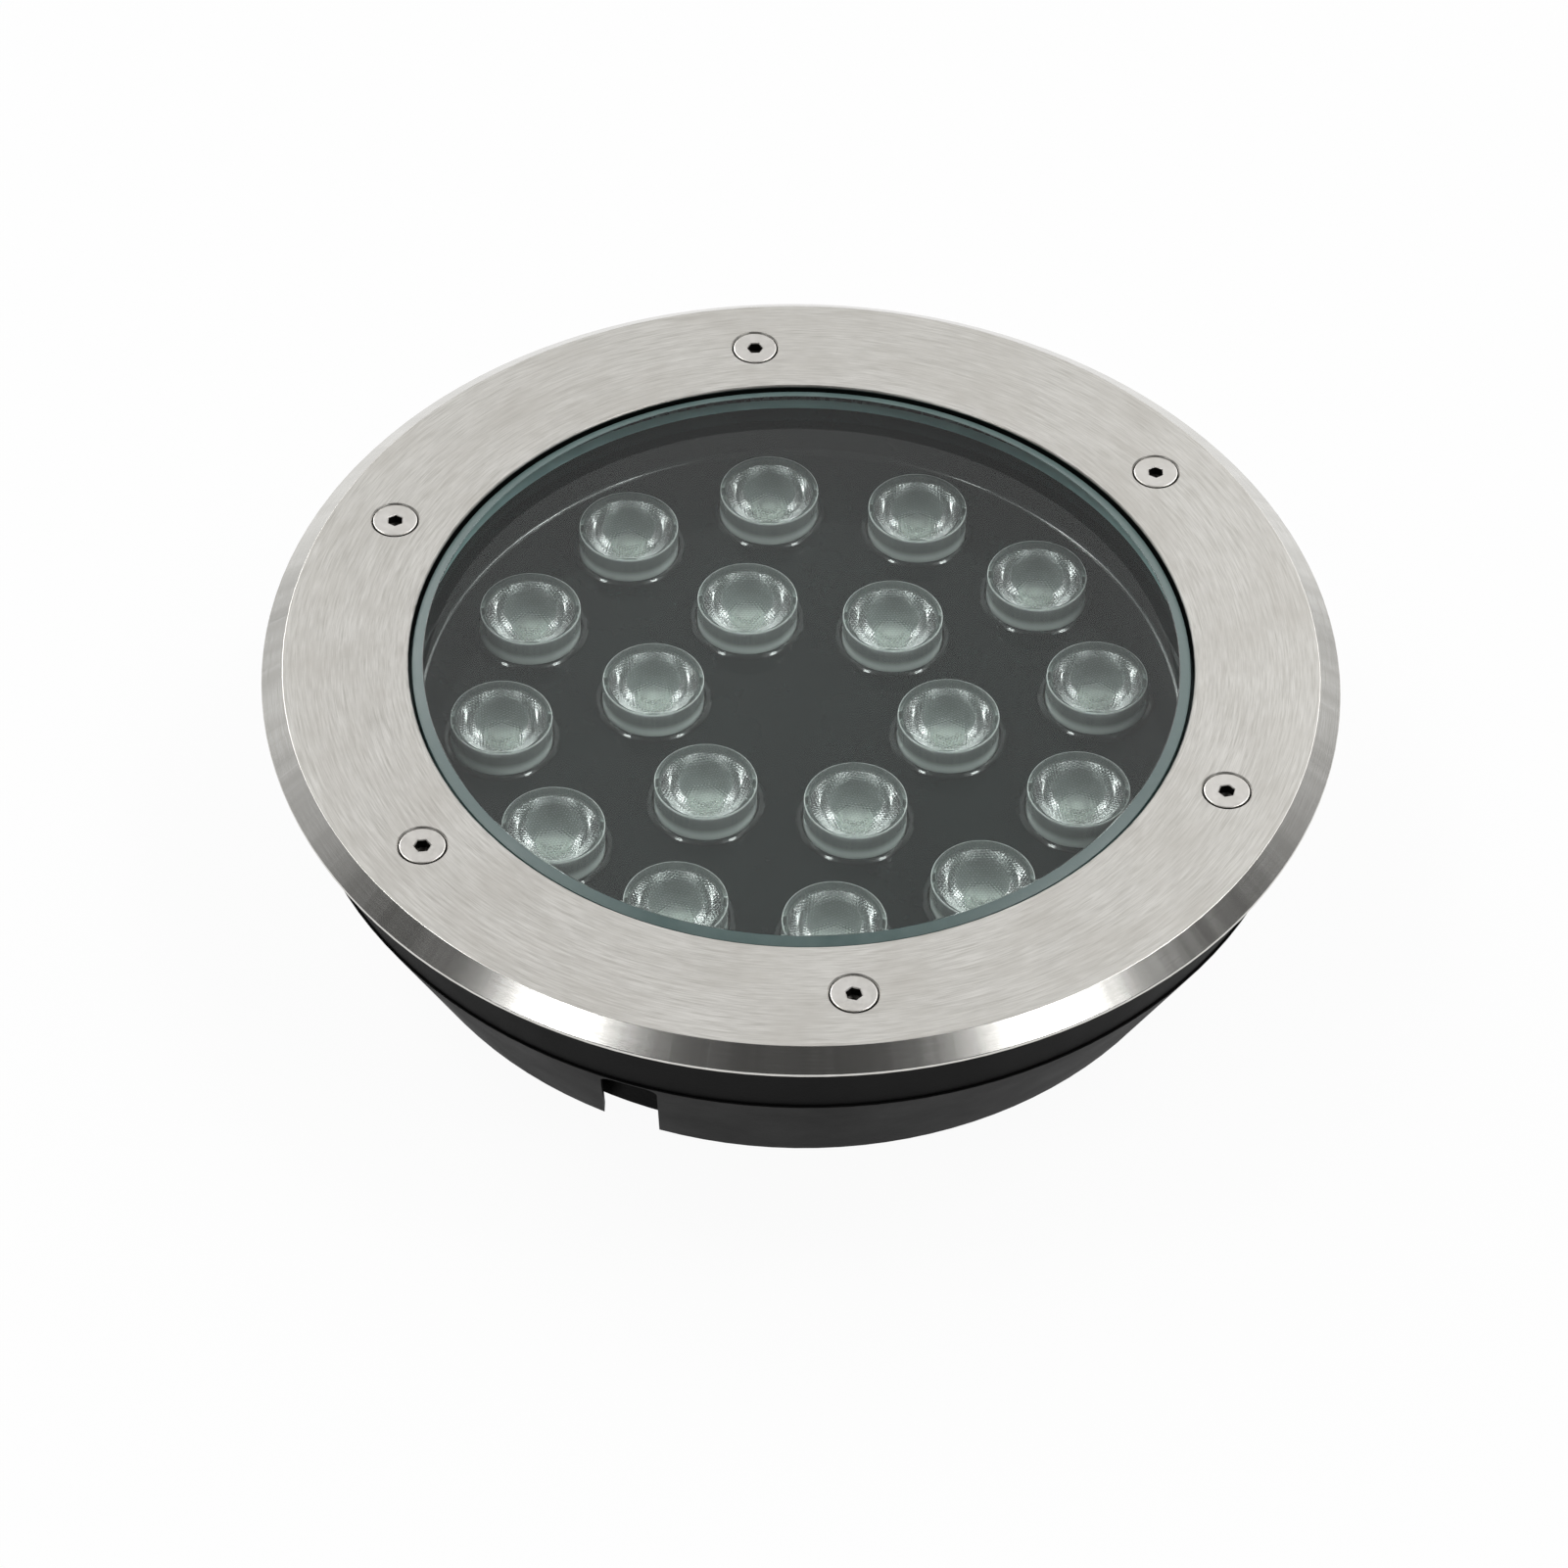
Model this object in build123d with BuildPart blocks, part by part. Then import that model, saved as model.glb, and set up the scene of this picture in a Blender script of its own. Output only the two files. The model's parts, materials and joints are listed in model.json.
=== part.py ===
from build123d import *
import os

# A round in-ground well light: a stainless face ring holds a thick stepped glass
# over a black tray with eighteen lenses, in a cast cup that hangs inside a black
# ground sleeve. Millimetres, +Z up, the origin on the ground under the centre.
# The viewer stands at -Y.

os.makedirs("parts", exist_ok=True)

# ---------------------------------------------------------------- driving sizes

overall_height = 54.0

# Face ring
ring_radius = 115.0
ring_face_radius = 110.4
ring_opening_radius = 83.75
ring_thickness = 4.0
ring_bevel_drop = 3.4
ring_inner_chamfer = 0.35
ring_edge_round = 0.25

# Six countersunk M5 screws
screw_circle_radius = 96.8
screw_phase = 97.0
screw_count = 6
screw_shank_radius = 2.5
screw_head_radius = 4.8
screw_sink = 0.05
screw_length = 16.0
screw_hole_spare = 0.7
screw_socket_flats = 3.0
screw_socket_depth = 2.2
countersink_radius = 5.4

# Glass and its two gaskets
glass_radius = 83.0
glass_flange_radius = 88.5
glass_thickness = 10.0
glass_flange_thickness = 5.3
glass_bevel_width = 2.4
glass_bevel_drop = 0.8
glass_sink = 0.3
gasket_inner_radius = 84.8
lower_gasket_thickness = 2.0

# Ground sleeve
sleeve_rim_radius = 112.0
sleeve_ledge_radius = 108.1
sleeve_ledge_width = 0.6
sleeve_ledge_height = 32.2
sleeve_ledge_round = 0.3
sleeve_base_radius = 92.2
sleeve_wall = 2.4
collar_wall = 2.6
notch_offset = 33.5
notch_width = 11.6
notch_height = 31.4
notch_corner = 3.0

# Cast cup
cup_radius = 89.0
cup_bore_radius = 84.6
cup_ground_gap = 0.6
cup_floor = 2.2
cup_foot_chamfer = 1.5
cup_pocket_radius = 88.9
cup_neck_radius = 92.5
cup_neck_bottom = 37.0
cup_flange_radius = 104.0
cup_flange_thickness = 6.0
screw_boss_radius = 6.0
screw_boss_bottom = 35.5
thread_clearance = 0.05
relief_fields = ((20.0, 48.5), (51.5, 80.0))
relief_rib_width = 3.0
relief_rib_turn = 30
relief_depth = 0.9

# Lens layout: an outer ring of twelve and an inner ring of six
outer_lens_circle = 64.2
inner_lens_circle = 32.0
outer_lens_count = 12
inner_lens_count = 6
inner_lens_turn = 15.0
lens_radius = 10.9
lens_top = 35.6
lens_shoulder = 29.0
lens_bottom = 25.4
lens_rim_width = 1.0
lens_dish_depth = 1.3
lens_skirt_radius = 9.9
lens_groove_top = 33.8
lens_cone_top_radius = 9.5
lens_cone_bottom_radius = 5.0
lens_pocket_radius = 3.3
lens_pocket_depth = 3.2

# Black tray around the lenses
tray_top = 29.3
tray_thickness = 1.6
tray_wall = 1.5
tray_outer_radius = 84.2
tray_glass_gap = 0.3
tray_hole_radius = 11.3
tray_hole_chamfer = 0.2
tray_lip_radius = 12.3
tray_lip_height = 0.5
tray_lip_round = 0.4
tray_corner = 0.8

# Board stack under the tray
heat_plate_bottom = 20.1
heat_plate_thickness = 2.0
heat_plate_radius = 84.2
thermal_pad_thickness = 0.5
thermal_pad_radius = 75.0
board_thickness = 1.6
board_radius = 75.5
wire_hole = (12.0, -4.0)
wire_hole_radius = 3.6
connector_size = 8.0
connector_height = 3.0
connector_corner = 0.6

# M3 pan-head screws
small_shank_radius = 1.5
small_head_radius = 2.75
small_head_height = 2.0
small_head_round = 0.8
small_cross_length = 3.2
small_cross_width = 0.7
small_cross_depth = 1.2
small_clearance = 0.2
board_screw_circle = 48.0
board_screw_length = 3.9
plate_screw_circle = 79.0
plate_screw_length = 10.0
plate_boss_radius = 6.0
small_screw_turn = 45.0

# Lens holder and light-emitting diode
holder_radius = 10.8
holder_wall = 0.75
holder_floor = 0.8
holder_hole_radius = 4.6
diode_base_radius = 3.9
diode_base_height = 1.1
diode_dome_radius = 2.6

# Constant-current driver
driver_length = 72.0
driver_width = 40.0
driver_height = 12.4
driver_wall = 1.6
driver_lid_thickness = 1.6
driver_centre = (-34.0, -2.0)
driver_corner = 2.0
driver_tab_length = 8.0
driver_tab_width = 9.0
driver_tab_thickness = 2.2
driver_tab_offset = -12.0
driver_boss_radius = 4.0
driver_boss_height = 4.0
driver_board_lift = 2.2
driver_board_ledge = 2.4
driver_board_gap = 0.5
transformer_size = (18.0, 16.0, 7.0)
transformer_shift = 12.0
transformer_corner = 1.5
capacitor_radius = 4.0
capacitor_height = 7.5
capacitor_spots = ((-18.0, 6.0), (-18.0, -6.0))

# Terminal block
terminal_centre = (33.5, 30.0)
terminal_length = 27.0
terminal_width = 16.0
terminal_height = 12.0
terminal_ways = 3
terminal_pitch = 8.0
terminal_screw_radius = 1.8
terminal_screw_length = 4.5
terminal_screw_sink = 0.6
terminal_slot_width = 0.7
terminal_slot_depth = 0.8
terminal_corner = 1.0

# Internal leads
lead_radius = 0.8
lead_spacing = 3.0
input_lead_height = 8.0
input_lead_rows = (12.0, 8.0)
input_lead_columns = (26.0, 30.0)
input_lead_bend = 8.0
output_lead_height = 11.0
output_lead_bend = 8.0

# Cable gland (M12) in its pocket in the cup
gland_height = 8.9
pocket_depth_y = 55.0
pocket_width = 24.0
pocket_roof = 17.1
pocket_wall = 2.2
gland_wall = 5.0
gland_thread_radius = 6.0
gland_flats_half = 7.0
gland_washer_thickness = 1.0
gland_hex_length = 5.0
gland_top_thread_radius = 5.6
gland_top_thread_length = 7.0
gland_bore_radius = 3.6
seal_radius = 4.75
seal_bore_radius = 3.25
seal_length = 7.5
seal_seat = 1.5
nut_gap = 1.0
nut_length = 10.5
nut_exit_radius = 3.5
nut_round = 1.2

# ---------------------------------------------------------------- worked-out levels

ring_bottom = overall_height - ring_thickness
glass_top = overall_height - glass_sink
glass_bottom = glass_top - glass_thickness
glass_flange_top = glass_bottom + glass_flange_thickness
seat_height = glass_bottom - lower_gasket_thickness
flange_bottom = ring_bottom - cup_flange_thickness
floor_top = cup_ground_gap + cup_floor
tray_bottom = tray_top - tray_thickness
tray_inner_radius = tray_outer_radius - tray_wall
tray_lip_top = tray_top + tray_lip_height
heat_plate_top = heat_plate_bottom + heat_plate_thickness
board_bottom = heat_plate_top + thermal_pad_thickness
board_top = board_bottom + board_thickness
driver_top = floor_top + driver_height
small_screw_phase = screw_phase + small_screw_turn
outer_spots = PolarLocations(outer_lens_circle, outer_lens_count, screw_phase)
inner_spots = PolarLocations(
    inner_lens_circle, inner_lens_count, screw_phase + inner_lens_turn
)
lens_spots = outer_spots.locations + inner_spots.locations


def turn(points, mode=Mode.ADD):
    """Revolve a closed outline of (radius, height) points about the vertical axis."""
    with BuildSketch(Plane.XZ) as outline:
        with BuildLine():
            Polyline(*points, close=True)
        make_face()
    revolve(outline.sketch, axis=Axis.Z, mode=mode)


def turned_ring(inner, outer, bottom, top, mode=Mode.ADD):
    """A plain ring of rectangular section; an inner radius of 0 makes a disc."""
    turn([(inner, bottom), (outer, bottom), (outer, top), (inner, top)], mode)


def round_edges(part, *radii):
    """The highest circular edge of each of the given radii."""
    found = ShapeList()
    for radius in radii:
        circles = part.edges().filter_by(lambda edge: edge.geom_type == GeomType.CIRCLE)
        near = circles.filter_by(lambda edge: abs(edge.radius - radius) < 0.001)
        found += near.group_by(Axis.Z)[-1]
    return found


# ---------------------------------------------------------------- ground sleeve

collar_foot_radius = sleeve_ledge_radius - sleeve_ledge_width
rear_view = Plane(origin=(0, 0, 0), x_dir=(-1, 0, 0), z_dir=(0, 1, 0))

with BuildPart() as mounting_sleeve:
    turn([
        (sleeve_base_radius - sleeve_wall, 0),
        (sleeve_base_radius, 0),
        (sleeve_ledge_radius, sleeve_ledge_height),
        (collar_foot_radius, sleeve_ledge_height),
        (sleeve_rim_radius, ring_bottom),
        (sleeve_rim_radius - collar_wall, ring_bottom),
        (collar_foot_radius - collar_wall, sleeve_ledge_height),
    ])
    fillet(round_edges(mounting_sleeve, sleeve_ledge_radius), sleeve_ledge_round)
    # One cable notch in front and one behind, open at the foot of the wall
    for side in (Plane.XZ, rear_view):
        with BuildSketch(side):
            with Locations((-notch_offset, 0)):
                Rectangle(notch_width, 2 * notch_height)
            fillet(vertices().group_by(Axis.Z)[-1], notch_corner)
        extrude(amount=ring_radius, mode=Mode.SUBTRACT)
mounting_sleeve.part.label = "mounting_sleeve"
export_step(mounting_sleeve.part, "parts/mounting_sleeve.step")

# ---------------------------------------------------------------- face ring and screws

with BuildPart() as face_ring:
    turn([
        (ring_opening_radius, ring_bottom),
        (ring_radius, ring_bottom),
        (ring_radius, overall_height - ring_bevel_drop),
        (ring_face_radius, overall_height),
        (ring_opening_radius + ring_inner_chamfer, overall_height),
        (ring_opening_radius, overall_height - ring_inner_chamfer),
    ])
    fillet(
        round_edges(face_ring, ring_radius, ring_face_radius, ring_opening_radius),
        ring_edge_round,
    )
    with Locations(Plane.XY.offset(overall_height)):
        with PolarLocations(screw_circle_radius, screw_count, screw_phase):
            CounterSinkHole(screw_shank_radius + small_clearance, countersink_radius)
face_ring.part.label = "face_ring"
export_step(face_ring.part, "parts/face_ring.step")

head_top = overall_height - screw_sink
head_edge_bottom = overall_height - countersink_radius + screw_head_radius
head_cone_bottom = head_edge_bottom - screw_head_radius + screw_shank_radius

with BuildPart() as one_face_screw:
    turn([
        (0, head_top - screw_length),
        (screw_shank_radius, head_top - screw_length),
        (screw_shank_radius, head_cone_bottom),
        (screw_head_radius, head_edge_bottom),
        (screw_head_radius, head_top),
        (0, head_top),
    ])
    with BuildSketch(Plane.XY.offset(head_top)):
        RegularPolygon(screw_socket_flats / 2, 6, major_radius=False)
    extrude(amount=-screw_socket_depth, mode=Mode.SUBTRACT)

with BuildPart() as face_screws:
    with PolarLocations(screw_circle_radius, screw_count, screw_phase):
        add(one_face_screw.part)
face_screws.part.label = "face_screws"
export_step(face_screws.part, "parts/face_screws.step")

# ---------------------------------------------------------------- glass and gaskets

with BuildPart() as glass:
    turn([
        (0, glass_bottom),
        (glass_flange_radius, glass_bottom),
        (glass_flange_radius, glass_flange_top),
        (glass_radius, glass_flange_top),
        (glass_radius, glass_top - glass_bevel_drop),
        (glass_radius - glass_bevel_width, glass_top),
        (0, glass_top),
    ])
glass.part.label = "glass"
export_step(glass.part, "parts/glass.step")

with BuildPart() as upper_gasket:
    turned_ring(gasket_inner_radius, glass_flange_radius, glass_flange_top, ring_bottom)
upper_gasket.part.label = "upper_gasket"
export_step(upper_gasket.part, "parts/upper_gasket.step")

with BuildPart() as lower_gasket:
    turned_ring(gasket_inner_radius, glass_flange_radius, seat_height, glass_bottom)
lower_gasket.part.label = "lower_gasket"
export_step(lower_gasket.part, "parts/lower_gasket.step")

# ---------------------------------------------------------------- cast cup

screw_hole_bottom = head_top - screw_length - screw_hole_spare
plate_hole_depth = plate_screw_length - heat_plate_thickness + screw_hole_spare
pocket_roof_top = pocket_roof + pocket_wall
pocket_centre = (notch_offset, pocket_depth_y + ring_radius / 2)
driver_boss_top = floor_top + driver_boss_height
driver_tab_reach = (driver_length + driver_tab_length) / 2
driver_screw_spots = [
    (driver_centre[0] - driver_tab_reach, driver_centre[1] + driver_tab_offset),
    (driver_centre[0] + driver_tab_reach, driver_centre[1] + driver_tab_offset),
]

# The gland sits on the pocket's inner wall and points at the sleeve's rear notch.
gland_face = Plane(
    origin=(notch_offset, pocket_depth_y, gland_height), x_dir=(1, 0, 0), z_dir=(0, 1, 0)
)

with BuildPart() as housing:
    turn([
        (0, cup_ground_gap),
        (cup_radius - cup_foot_chamfer, cup_ground_gap),
        (cup_radius, cup_ground_gap + cup_foot_chamfer),
        (cup_radius, cup_neck_bottom),
        (cup_neck_radius, cup_neck_bottom + cup_neck_radius - cup_radius),
        (cup_neck_radius, flange_bottom),
        (cup_flange_radius, flange_bottom),
        (cup_flange_radius, ring_bottom),
        (cup_pocket_radius, ring_bottom),
        (cup_pocket_radius, seat_height),
        (cup_bore_radius, seat_height),
        (cup_bore_radius, floor_top),
        (0, floor_top),
    ])
    # Bosses: under the face screws, under the heat plate and under the driver
    with BuildSketch(Plane.XY.offset(screw_boss_bottom)):
        with PolarLocations(screw_circle_radius, screw_count, screw_phase):
            Circle(screw_boss_radius)
    extrude(amount=flange_bottom - screw_boss_bottom)
    with BuildSketch(Plane.XY.offset(floor_top)):
        with PolarLocations(plate_screw_circle, screw_count, small_screw_phase):
            Circle(plate_boss_radius)
    extrude(amount=heat_plate_bottom - floor_top)
    with BuildSketch(Plane.XY.offset(floor_top)):
        with Locations(*driver_screw_spots):
            Circle(driver_boss_radius)
    extrude(amount=driver_boss_height)
    # The pocket for the cable gland, open downwards and at the back
    with BuildSketch(Plane.XY.offset(cup_ground_gap)):
        with Locations((notch_offset, pocket_depth_y - gland_wall)):
            Rectangle(
                pocket_width + 2 * pocket_wall, ring_radius, align=(Align.CENTER, Align.MIN)
            )
        Circle((cup_radius + cup_bore_radius) / 2, mode=Mode.INTERSECT)
    extrude(amount=pocket_roof_top - cup_ground_gap)
    with BuildSketch(Plane.XY):
        with Locations(pocket_centre):
            Rectangle(pocket_width, ring_radius)
    extrude(amount=pocket_roof, mode=Mode.SUBTRACT)
    # Shallow fields cast into the underside, with ribs between them
    for field_inner, field_outer in relief_fields:
        with BuildSketch(Plane.XY.offset(cup_ground_gap)):
            Circle(field_outer)
            Circle(field_inner, mode=Mode.SUBTRACT)
            for turned in range(0, 180, relief_rib_turn):
                Rectangle(
                    2 * ring_radius, relief_rib_width, rotation=turned, mode=Mode.SUBTRACT
                )
            with Locations((notch_offset, pocket_depth_y - gland_wall - relief_rib_width)):
                Rectangle(
                    pocket_width + 2 * (pocket_wall + relief_rib_width),
                    ring_radius,
                    align=(Align.CENTER, Align.MIN),
                    mode=Mode.SUBTRACT,
                )
        extrude(amount=relief_depth, mode=Mode.SUBTRACT)
    with BuildSketch(gland_face):
        Circle(gland_thread_radius + thread_clearance)
    extrude(amount=-gland_wall, mode=Mode.SUBTRACT)
    # Tapped holes
    with Locations(Plane.XY.offset(ring_bottom)):
        with PolarLocations(screw_circle_radius, screw_count, screw_phase):
            Hole(screw_shank_radius + thread_clearance, ring_bottom - screw_hole_bottom)
    with Locations(Plane.XY.offset(heat_plate_bottom)):
        with PolarLocations(plate_screw_circle, screw_count, small_screw_phase):
            Hole(small_shank_radius + thread_clearance, plate_hole_depth)
    with Locations(Plane.XY.offset(driver_boss_top)):
        with Locations(*driver_screw_spots):
            Hole(small_shank_radius + thread_clearance, driver_boss_height)
housing.part.label = "housing"
export_step(housing.part, "parts/housing.step")

# ---------------------------------------------------------------- black tray

with BuildPart() as lens_tray:
    turn([
        (0, tray_bottom),
        (tray_inner_radius, tray_bottom),
        (tray_inner_radius, heat_plate_top),
        (tray_outer_radius, heat_plate_top),
        (tray_outer_radius, glass_bottom - tray_glass_gap),
        (tray_inner_radius, glass_bottom - tray_glass_gap),
        (tray_inner_radius, tray_top),
        (0, tray_top),
    ])
    corner = (
        lens_tray.edges()
        .filter_by(GeomType.CIRCLE)
        .filter_by_position(Axis.Z, tray_top - 0.01, tray_top + 0.01)
    )
    fillet(corner, tray_corner)
    # A low rounded lip runs round each lens hole
    with BuildSketch(Plane.XY.offset(tray_top)):
        with Locations(*lens_spots):
            Circle(tray_lip_radius)
    extrude(amount=tray_lip_height)
    fillet(round_edges(lens_tray, tray_lip_radius), tray_lip_round)
    with BuildSketch(Plane.XY.offset(tray_lip_top)):
        with Locations(*lens_spots):
            Circle(tray_hole_radius)
    extrude(amount=tray_bottom - tray_lip_top, mode=Mode.SUBTRACT)
    chamfer(round_edges(lens_tray, tray_hole_radius), tray_hole_chamfer)
lens_tray.part.label = "lens_tray"
export_step(lens_tray.part, "parts/lens_tray.step")

# ---------------------------------------------------------------- lenses, holders, diodes

# A lens has a dished top inside a flat rim, a thin skirt that stands on its holder,
# and inside that, past a groove, the cone that gathers the diode's light.
dish_radius = lens_radius - lens_rim_width
dish_bottom = lens_top - lens_dish_depth
dish_curve = (dish_radius**2 + lens_dish_depth**2) / (2 * lens_dish_depth)
half_way_height = dish_bottom + dish_curve - (dish_curve**2 - (dish_radius / 2) ** 2) ** 0.5

with BuildPart() as one_lens:
    with BuildSketch(Plane.XZ):
        with BuildLine():
            Polyline(
                (0, dish_bottom),
                (0, lens_bottom + lens_pocket_depth),
                (lens_pocket_radius, lens_bottom + lens_pocket_depth),
                (lens_pocket_radius, lens_bottom),
                (lens_cone_bottom_radius, lens_bottom),
                (lens_cone_top_radius, lens_groove_top),
                (lens_skirt_radius, lens_groove_top),
                (lens_skirt_radius, lens_shoulder),
                (lens_radius, lens_shoulder),
                (lens_radius, lens_top),
                (dish_radius, lens_top),
            )
            ThreePointArc(
                (dish_radius, lens_top),
                (dish_radius / 2, half_way_height),
                (0, dish_bottom),
            )
        make_face()
    revolve(axis=Axis.Z)

with BuildPart() as one_holder:
    turned_ring(holder_hole_radius, holder_radius, board_top, board_top + holder_floor)
    turned_ring(holder_radius - holder_wall, holder_radius, board_top, lens_shoulder)

with BuildPart() as one_diode:
    turned_ring(0, diode_base_radius, board_top, board_top + diode_base_height)
    with Locations((0, 0, board_top + diode_base_height)):
        Sphere(
            diode_dome_radius, arc_size1=0, align=(Align.CENTER, Align.CENTER, Align.MIN)
        )

for ring_name, spots in (("outer", outer_spots), ("inner", inner_spots)):
    for number, spot in enumerate(spots.locations, start=1):
        with BuildPart() as lens:
            with Locations(spot):
                add(one_lens.part)
        lens.part.label = f"{ring_name}_lens_{number:02d}"
        export_step(lens.part, f"parts/{lens.part.label}.step")

with BuildPart() as lens_holders:
    with Locations(*lens_spots):
        add(one_holder.part)
lens_holders.part.label = "lens_holders"
export_step(lens_holders.part, "parts/lens_holders.step")

with BuildPart() as light_diodes:
    with Locations(*lens_spots):
        add(one_diode.part)
light_diodes.part.label = "light_diodes"
export_step(light_diodes.part, "parts/light_diodes.step")

# ---------------------------------------------------------------- board stack

with BuildPart() as heat_plate:
    turned_ring(0, heat_plate_radius, heat_plate_bottom, heat_plate_top)
    with Locations(Plane.XY.offset(heat_plate_top)):
        with PolarLocations(plate_screw_circle, screw_count, small_screw_phase):
            Hole(small_shank_radius + small_clearance)
        with PolarLocations(board_screw_circle, screw_count, small_screw_phase):
            Hole(small_shank_radius + thread_clearance)
        with Locations(wire_hole):
            Hole(wire_hole_radius)
heat_plate.part.label = "heat_plate"
export_step(heat_plate.part, "parts/heat_plate.step")

with BuildPart() as thermal_pad:
    turned_ring(0, thermal_pad_radius, heat_plate_top, board_bottom)
    with Locations(Plane.XY.offset(board_bottom)):
        with PolarLocations(board_screw_circle, screw_count, small_screw_phase):
            Hole(small_shank_radius + small_clearance)
        with Locations(wire_hole):
            Hole(wire_hole_radius)
thermal_pad.part.label = "thermal_pad"
export_step(thermal_pad.part, "parts/thermal_pad.step")

with BuildPart() as led_board:
    turned_ring(0, board_radius, board_bottom, board_top)
    with Locations(Plane.XY.offset(board_top)):
        with PolarLocations(board_screw_circle, screw_count, small_screw_phase):
            Hole(small_shank_radius + small_clearance)
        with Locations(wire_hole):
            Hole(wire_hole_radius)
led_board.part.label = "led_board"
export_step(led_board.part, "parts/led_board.step")

with BuildPart() as board_connector:
    with BuildSketch(Plane.XY.offset(board_top)):
        with Locations(wire_hole):
            RectangleRounded(connector_size, connector_size, connector_corner)
    extrude(amount=connector_height)
board_connector.part.label = "board_connector"
export_step(board_connector.part, "parts/board_connector.step")


def pan_head_screw(seat, length):
    """An M3 screw on the vertical axis whose head rests on the height seat."""
    with BuildPart() as screw:
        turned_ring(0, small_shank_radius, seat - length, seat)
        turned_ring(0, small_head_radius, seat, seat + small_head_height)
        fillet(screw.edges().group_by(Axis.Z)[-1], small_head_round)
        with BuildSketch(Plane.XY.offset(seat + small_head_height)):
            for turned in (0, 90):
                SlotOverall(small_cross_length, small_cross_width, rotation=turned)
        extrude(amount=-small_cross_depth, mode=Mode.SUBTRACT)
    return screw.part


with BuildPart() as board_screws:
    with PolarLocations(board_screw_circle, screw_count, small_screw_phase):
        add(pan_head_screw(board_top, board_screw_length))
board_screws.part.label = "board_screws"
export_step(board_screws.part, "parts/board_screws.step")

with BuildPart() as heat_plate_screws:
    with PolarLocations(plate_screw_circle, screw_count, small_screw_phase):
        add(pan_head_screw(heat_plate_top, plate_screw_length))
heat_plate_screws.part.label = "heat_plate_screws"
export_step(heat_plate_screws.part, "parts/heat_plate_screws.step")

# ---------------------------------------------------------------- driver

inner_length = driver_length - 2 * driver_wall
inner_width = driver_width - 2 * driver_wall
driver_board_bottom = floor_top + driver_board_lift
driver_board_top = driver_board_bottom + board_thickness
driver_tab_top = driver_boss_top + driver_tab_thickness

with BuildPart() as driver_case:
    with BuildSketch(Plane.XY.offset(floor_top)):
        with Locations(driver_centre):
            RectangleRounded(driver_length, driver_width, driver_corner)
    extrude(amount=driver_height)
    with BuildSketch(Plane.XY.offset(driver_boss_top)):
        with Locations(*driver_screw_spots):
            Rectangle(driver_tab_length, driver_tab_width)
    extrude(amount=driver_tab_thickness)
    with BuildSketch(Plane.XY.offset(driver_board_bottom)):
        with Locations(driver_centre):
            Rectangle(inner_length, inner_width)
    extrude(amount=driver_height, mode=Mode.SUBTRACT)
    with BuildSketch(Plane.XY.offset(floor_top + driver_wall)):
        with Locations(driver_centre):
            Rectangle(inner_length - 2 * driver_board_ledge, inner_width - 2 * driver_board_ledge)
    extrude(amount=driver_board_lift, mode=Mode.SUBTRACT)
    with Locations(Plane.XY.offset(driver_tab_top)):
        with Locations(*driver_screw_spots):
            Hole(small_shank_radius + small_clearance)
driver_case.part.label = "driver_case"
export_step(driver_case.part, "parts/driver_case.step")

with BuildPart() as driver_lid:
    with BuildSketch(Plane.XY.offset(driver_top)):
        with Locations(driver_centre):
            RectangleRounded(driver_length, driver_width, driver_corner)
    extrude(amount=driver_lid_thickness)
driver_lid.part.label = "driver_lid"
export_step(driver_lid.part, "parts/driver_lid.step")

with BuildPart() as driver_board:
    with BuildSketch(Plane.XY.offset(driver_board_bottom)):
        with Locations(driver_centre):
            Rectangle(inner_length - 2 * driver_board_gap, inner_width - 2 * driver_board_gap)
    extrude(amount=board_thickness)
driver_board.part.label = "driver_board"
export_step(driver_board.part, "parts/driver_board.step")

with BuildPart() as driver_transformer:
    with BuildSketch(Plane.XY.offset(driver_board_top)):
        with Locations((driver_centre[0] + transformer_shift, driver_centre[1])):
            RectangleRounded(*transformer_size[:2], transformer_corner)
    extrude(amount=transformer_size[2])
driver_transformer.part.label = "driver_transformer"
export_step(driver_transformer.part, "parts/driver_transformer.step")

with BuildPart() as driver_capacitors:
    with BuildSketch(Plane.XY.offset(driver_board_top)):
        for spot_x, spot_y in capacitor_spots:
            with Locations((driver_centre[0] + spot_x, driver_centre[1] + spot_y)):
                Circle(capacitor_radius)
    extrude(amount=capacitor_height)
driver_capacitors.part.label = "driver_capacitors"
export_step(driver_capacitors.part, "parts/driver_capacitors.step")

with BuildPart() as driver_screws:
    with Locations(*driver_screw_spots):
        add(pan_head_screw(driver_tab_top, driver_tab_thickness + driver_boss_height - screw_hole_spare))
driver_screws.part.label = "driver_screws"
export_step(driver_screws.part, "parts/driver_screws.step")

# ---------------------------------------------------------------- terminal block

terminal_top = floor_top + terminal_height
terminal_screw_top = terminal_top - terminal_screw_sink

with BuildPart() as terminal_block:
    with BuildSketch(Plane.XY.offset(floor_top)):
        with Locations(terminal_centre):
            RectangleRounded(terminal_length, terminal_width, terminal_corner)
    extrude(amount=terminal_height)
    with Locations((terminal_centre[0], terminal_centre[1], terminal_top)):
        with GridLocations(terminal_pitch, 1.0, terminal_ways, 1):
            Hole(
                terminal_screw_radius + thread_clearance,
                terminal_screw_length + terminal_screw_sink,
            )
terminal_block.part.label = "terminal_block"
export_step(terminal_block.part, "parts/terminal_block.step")

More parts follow.
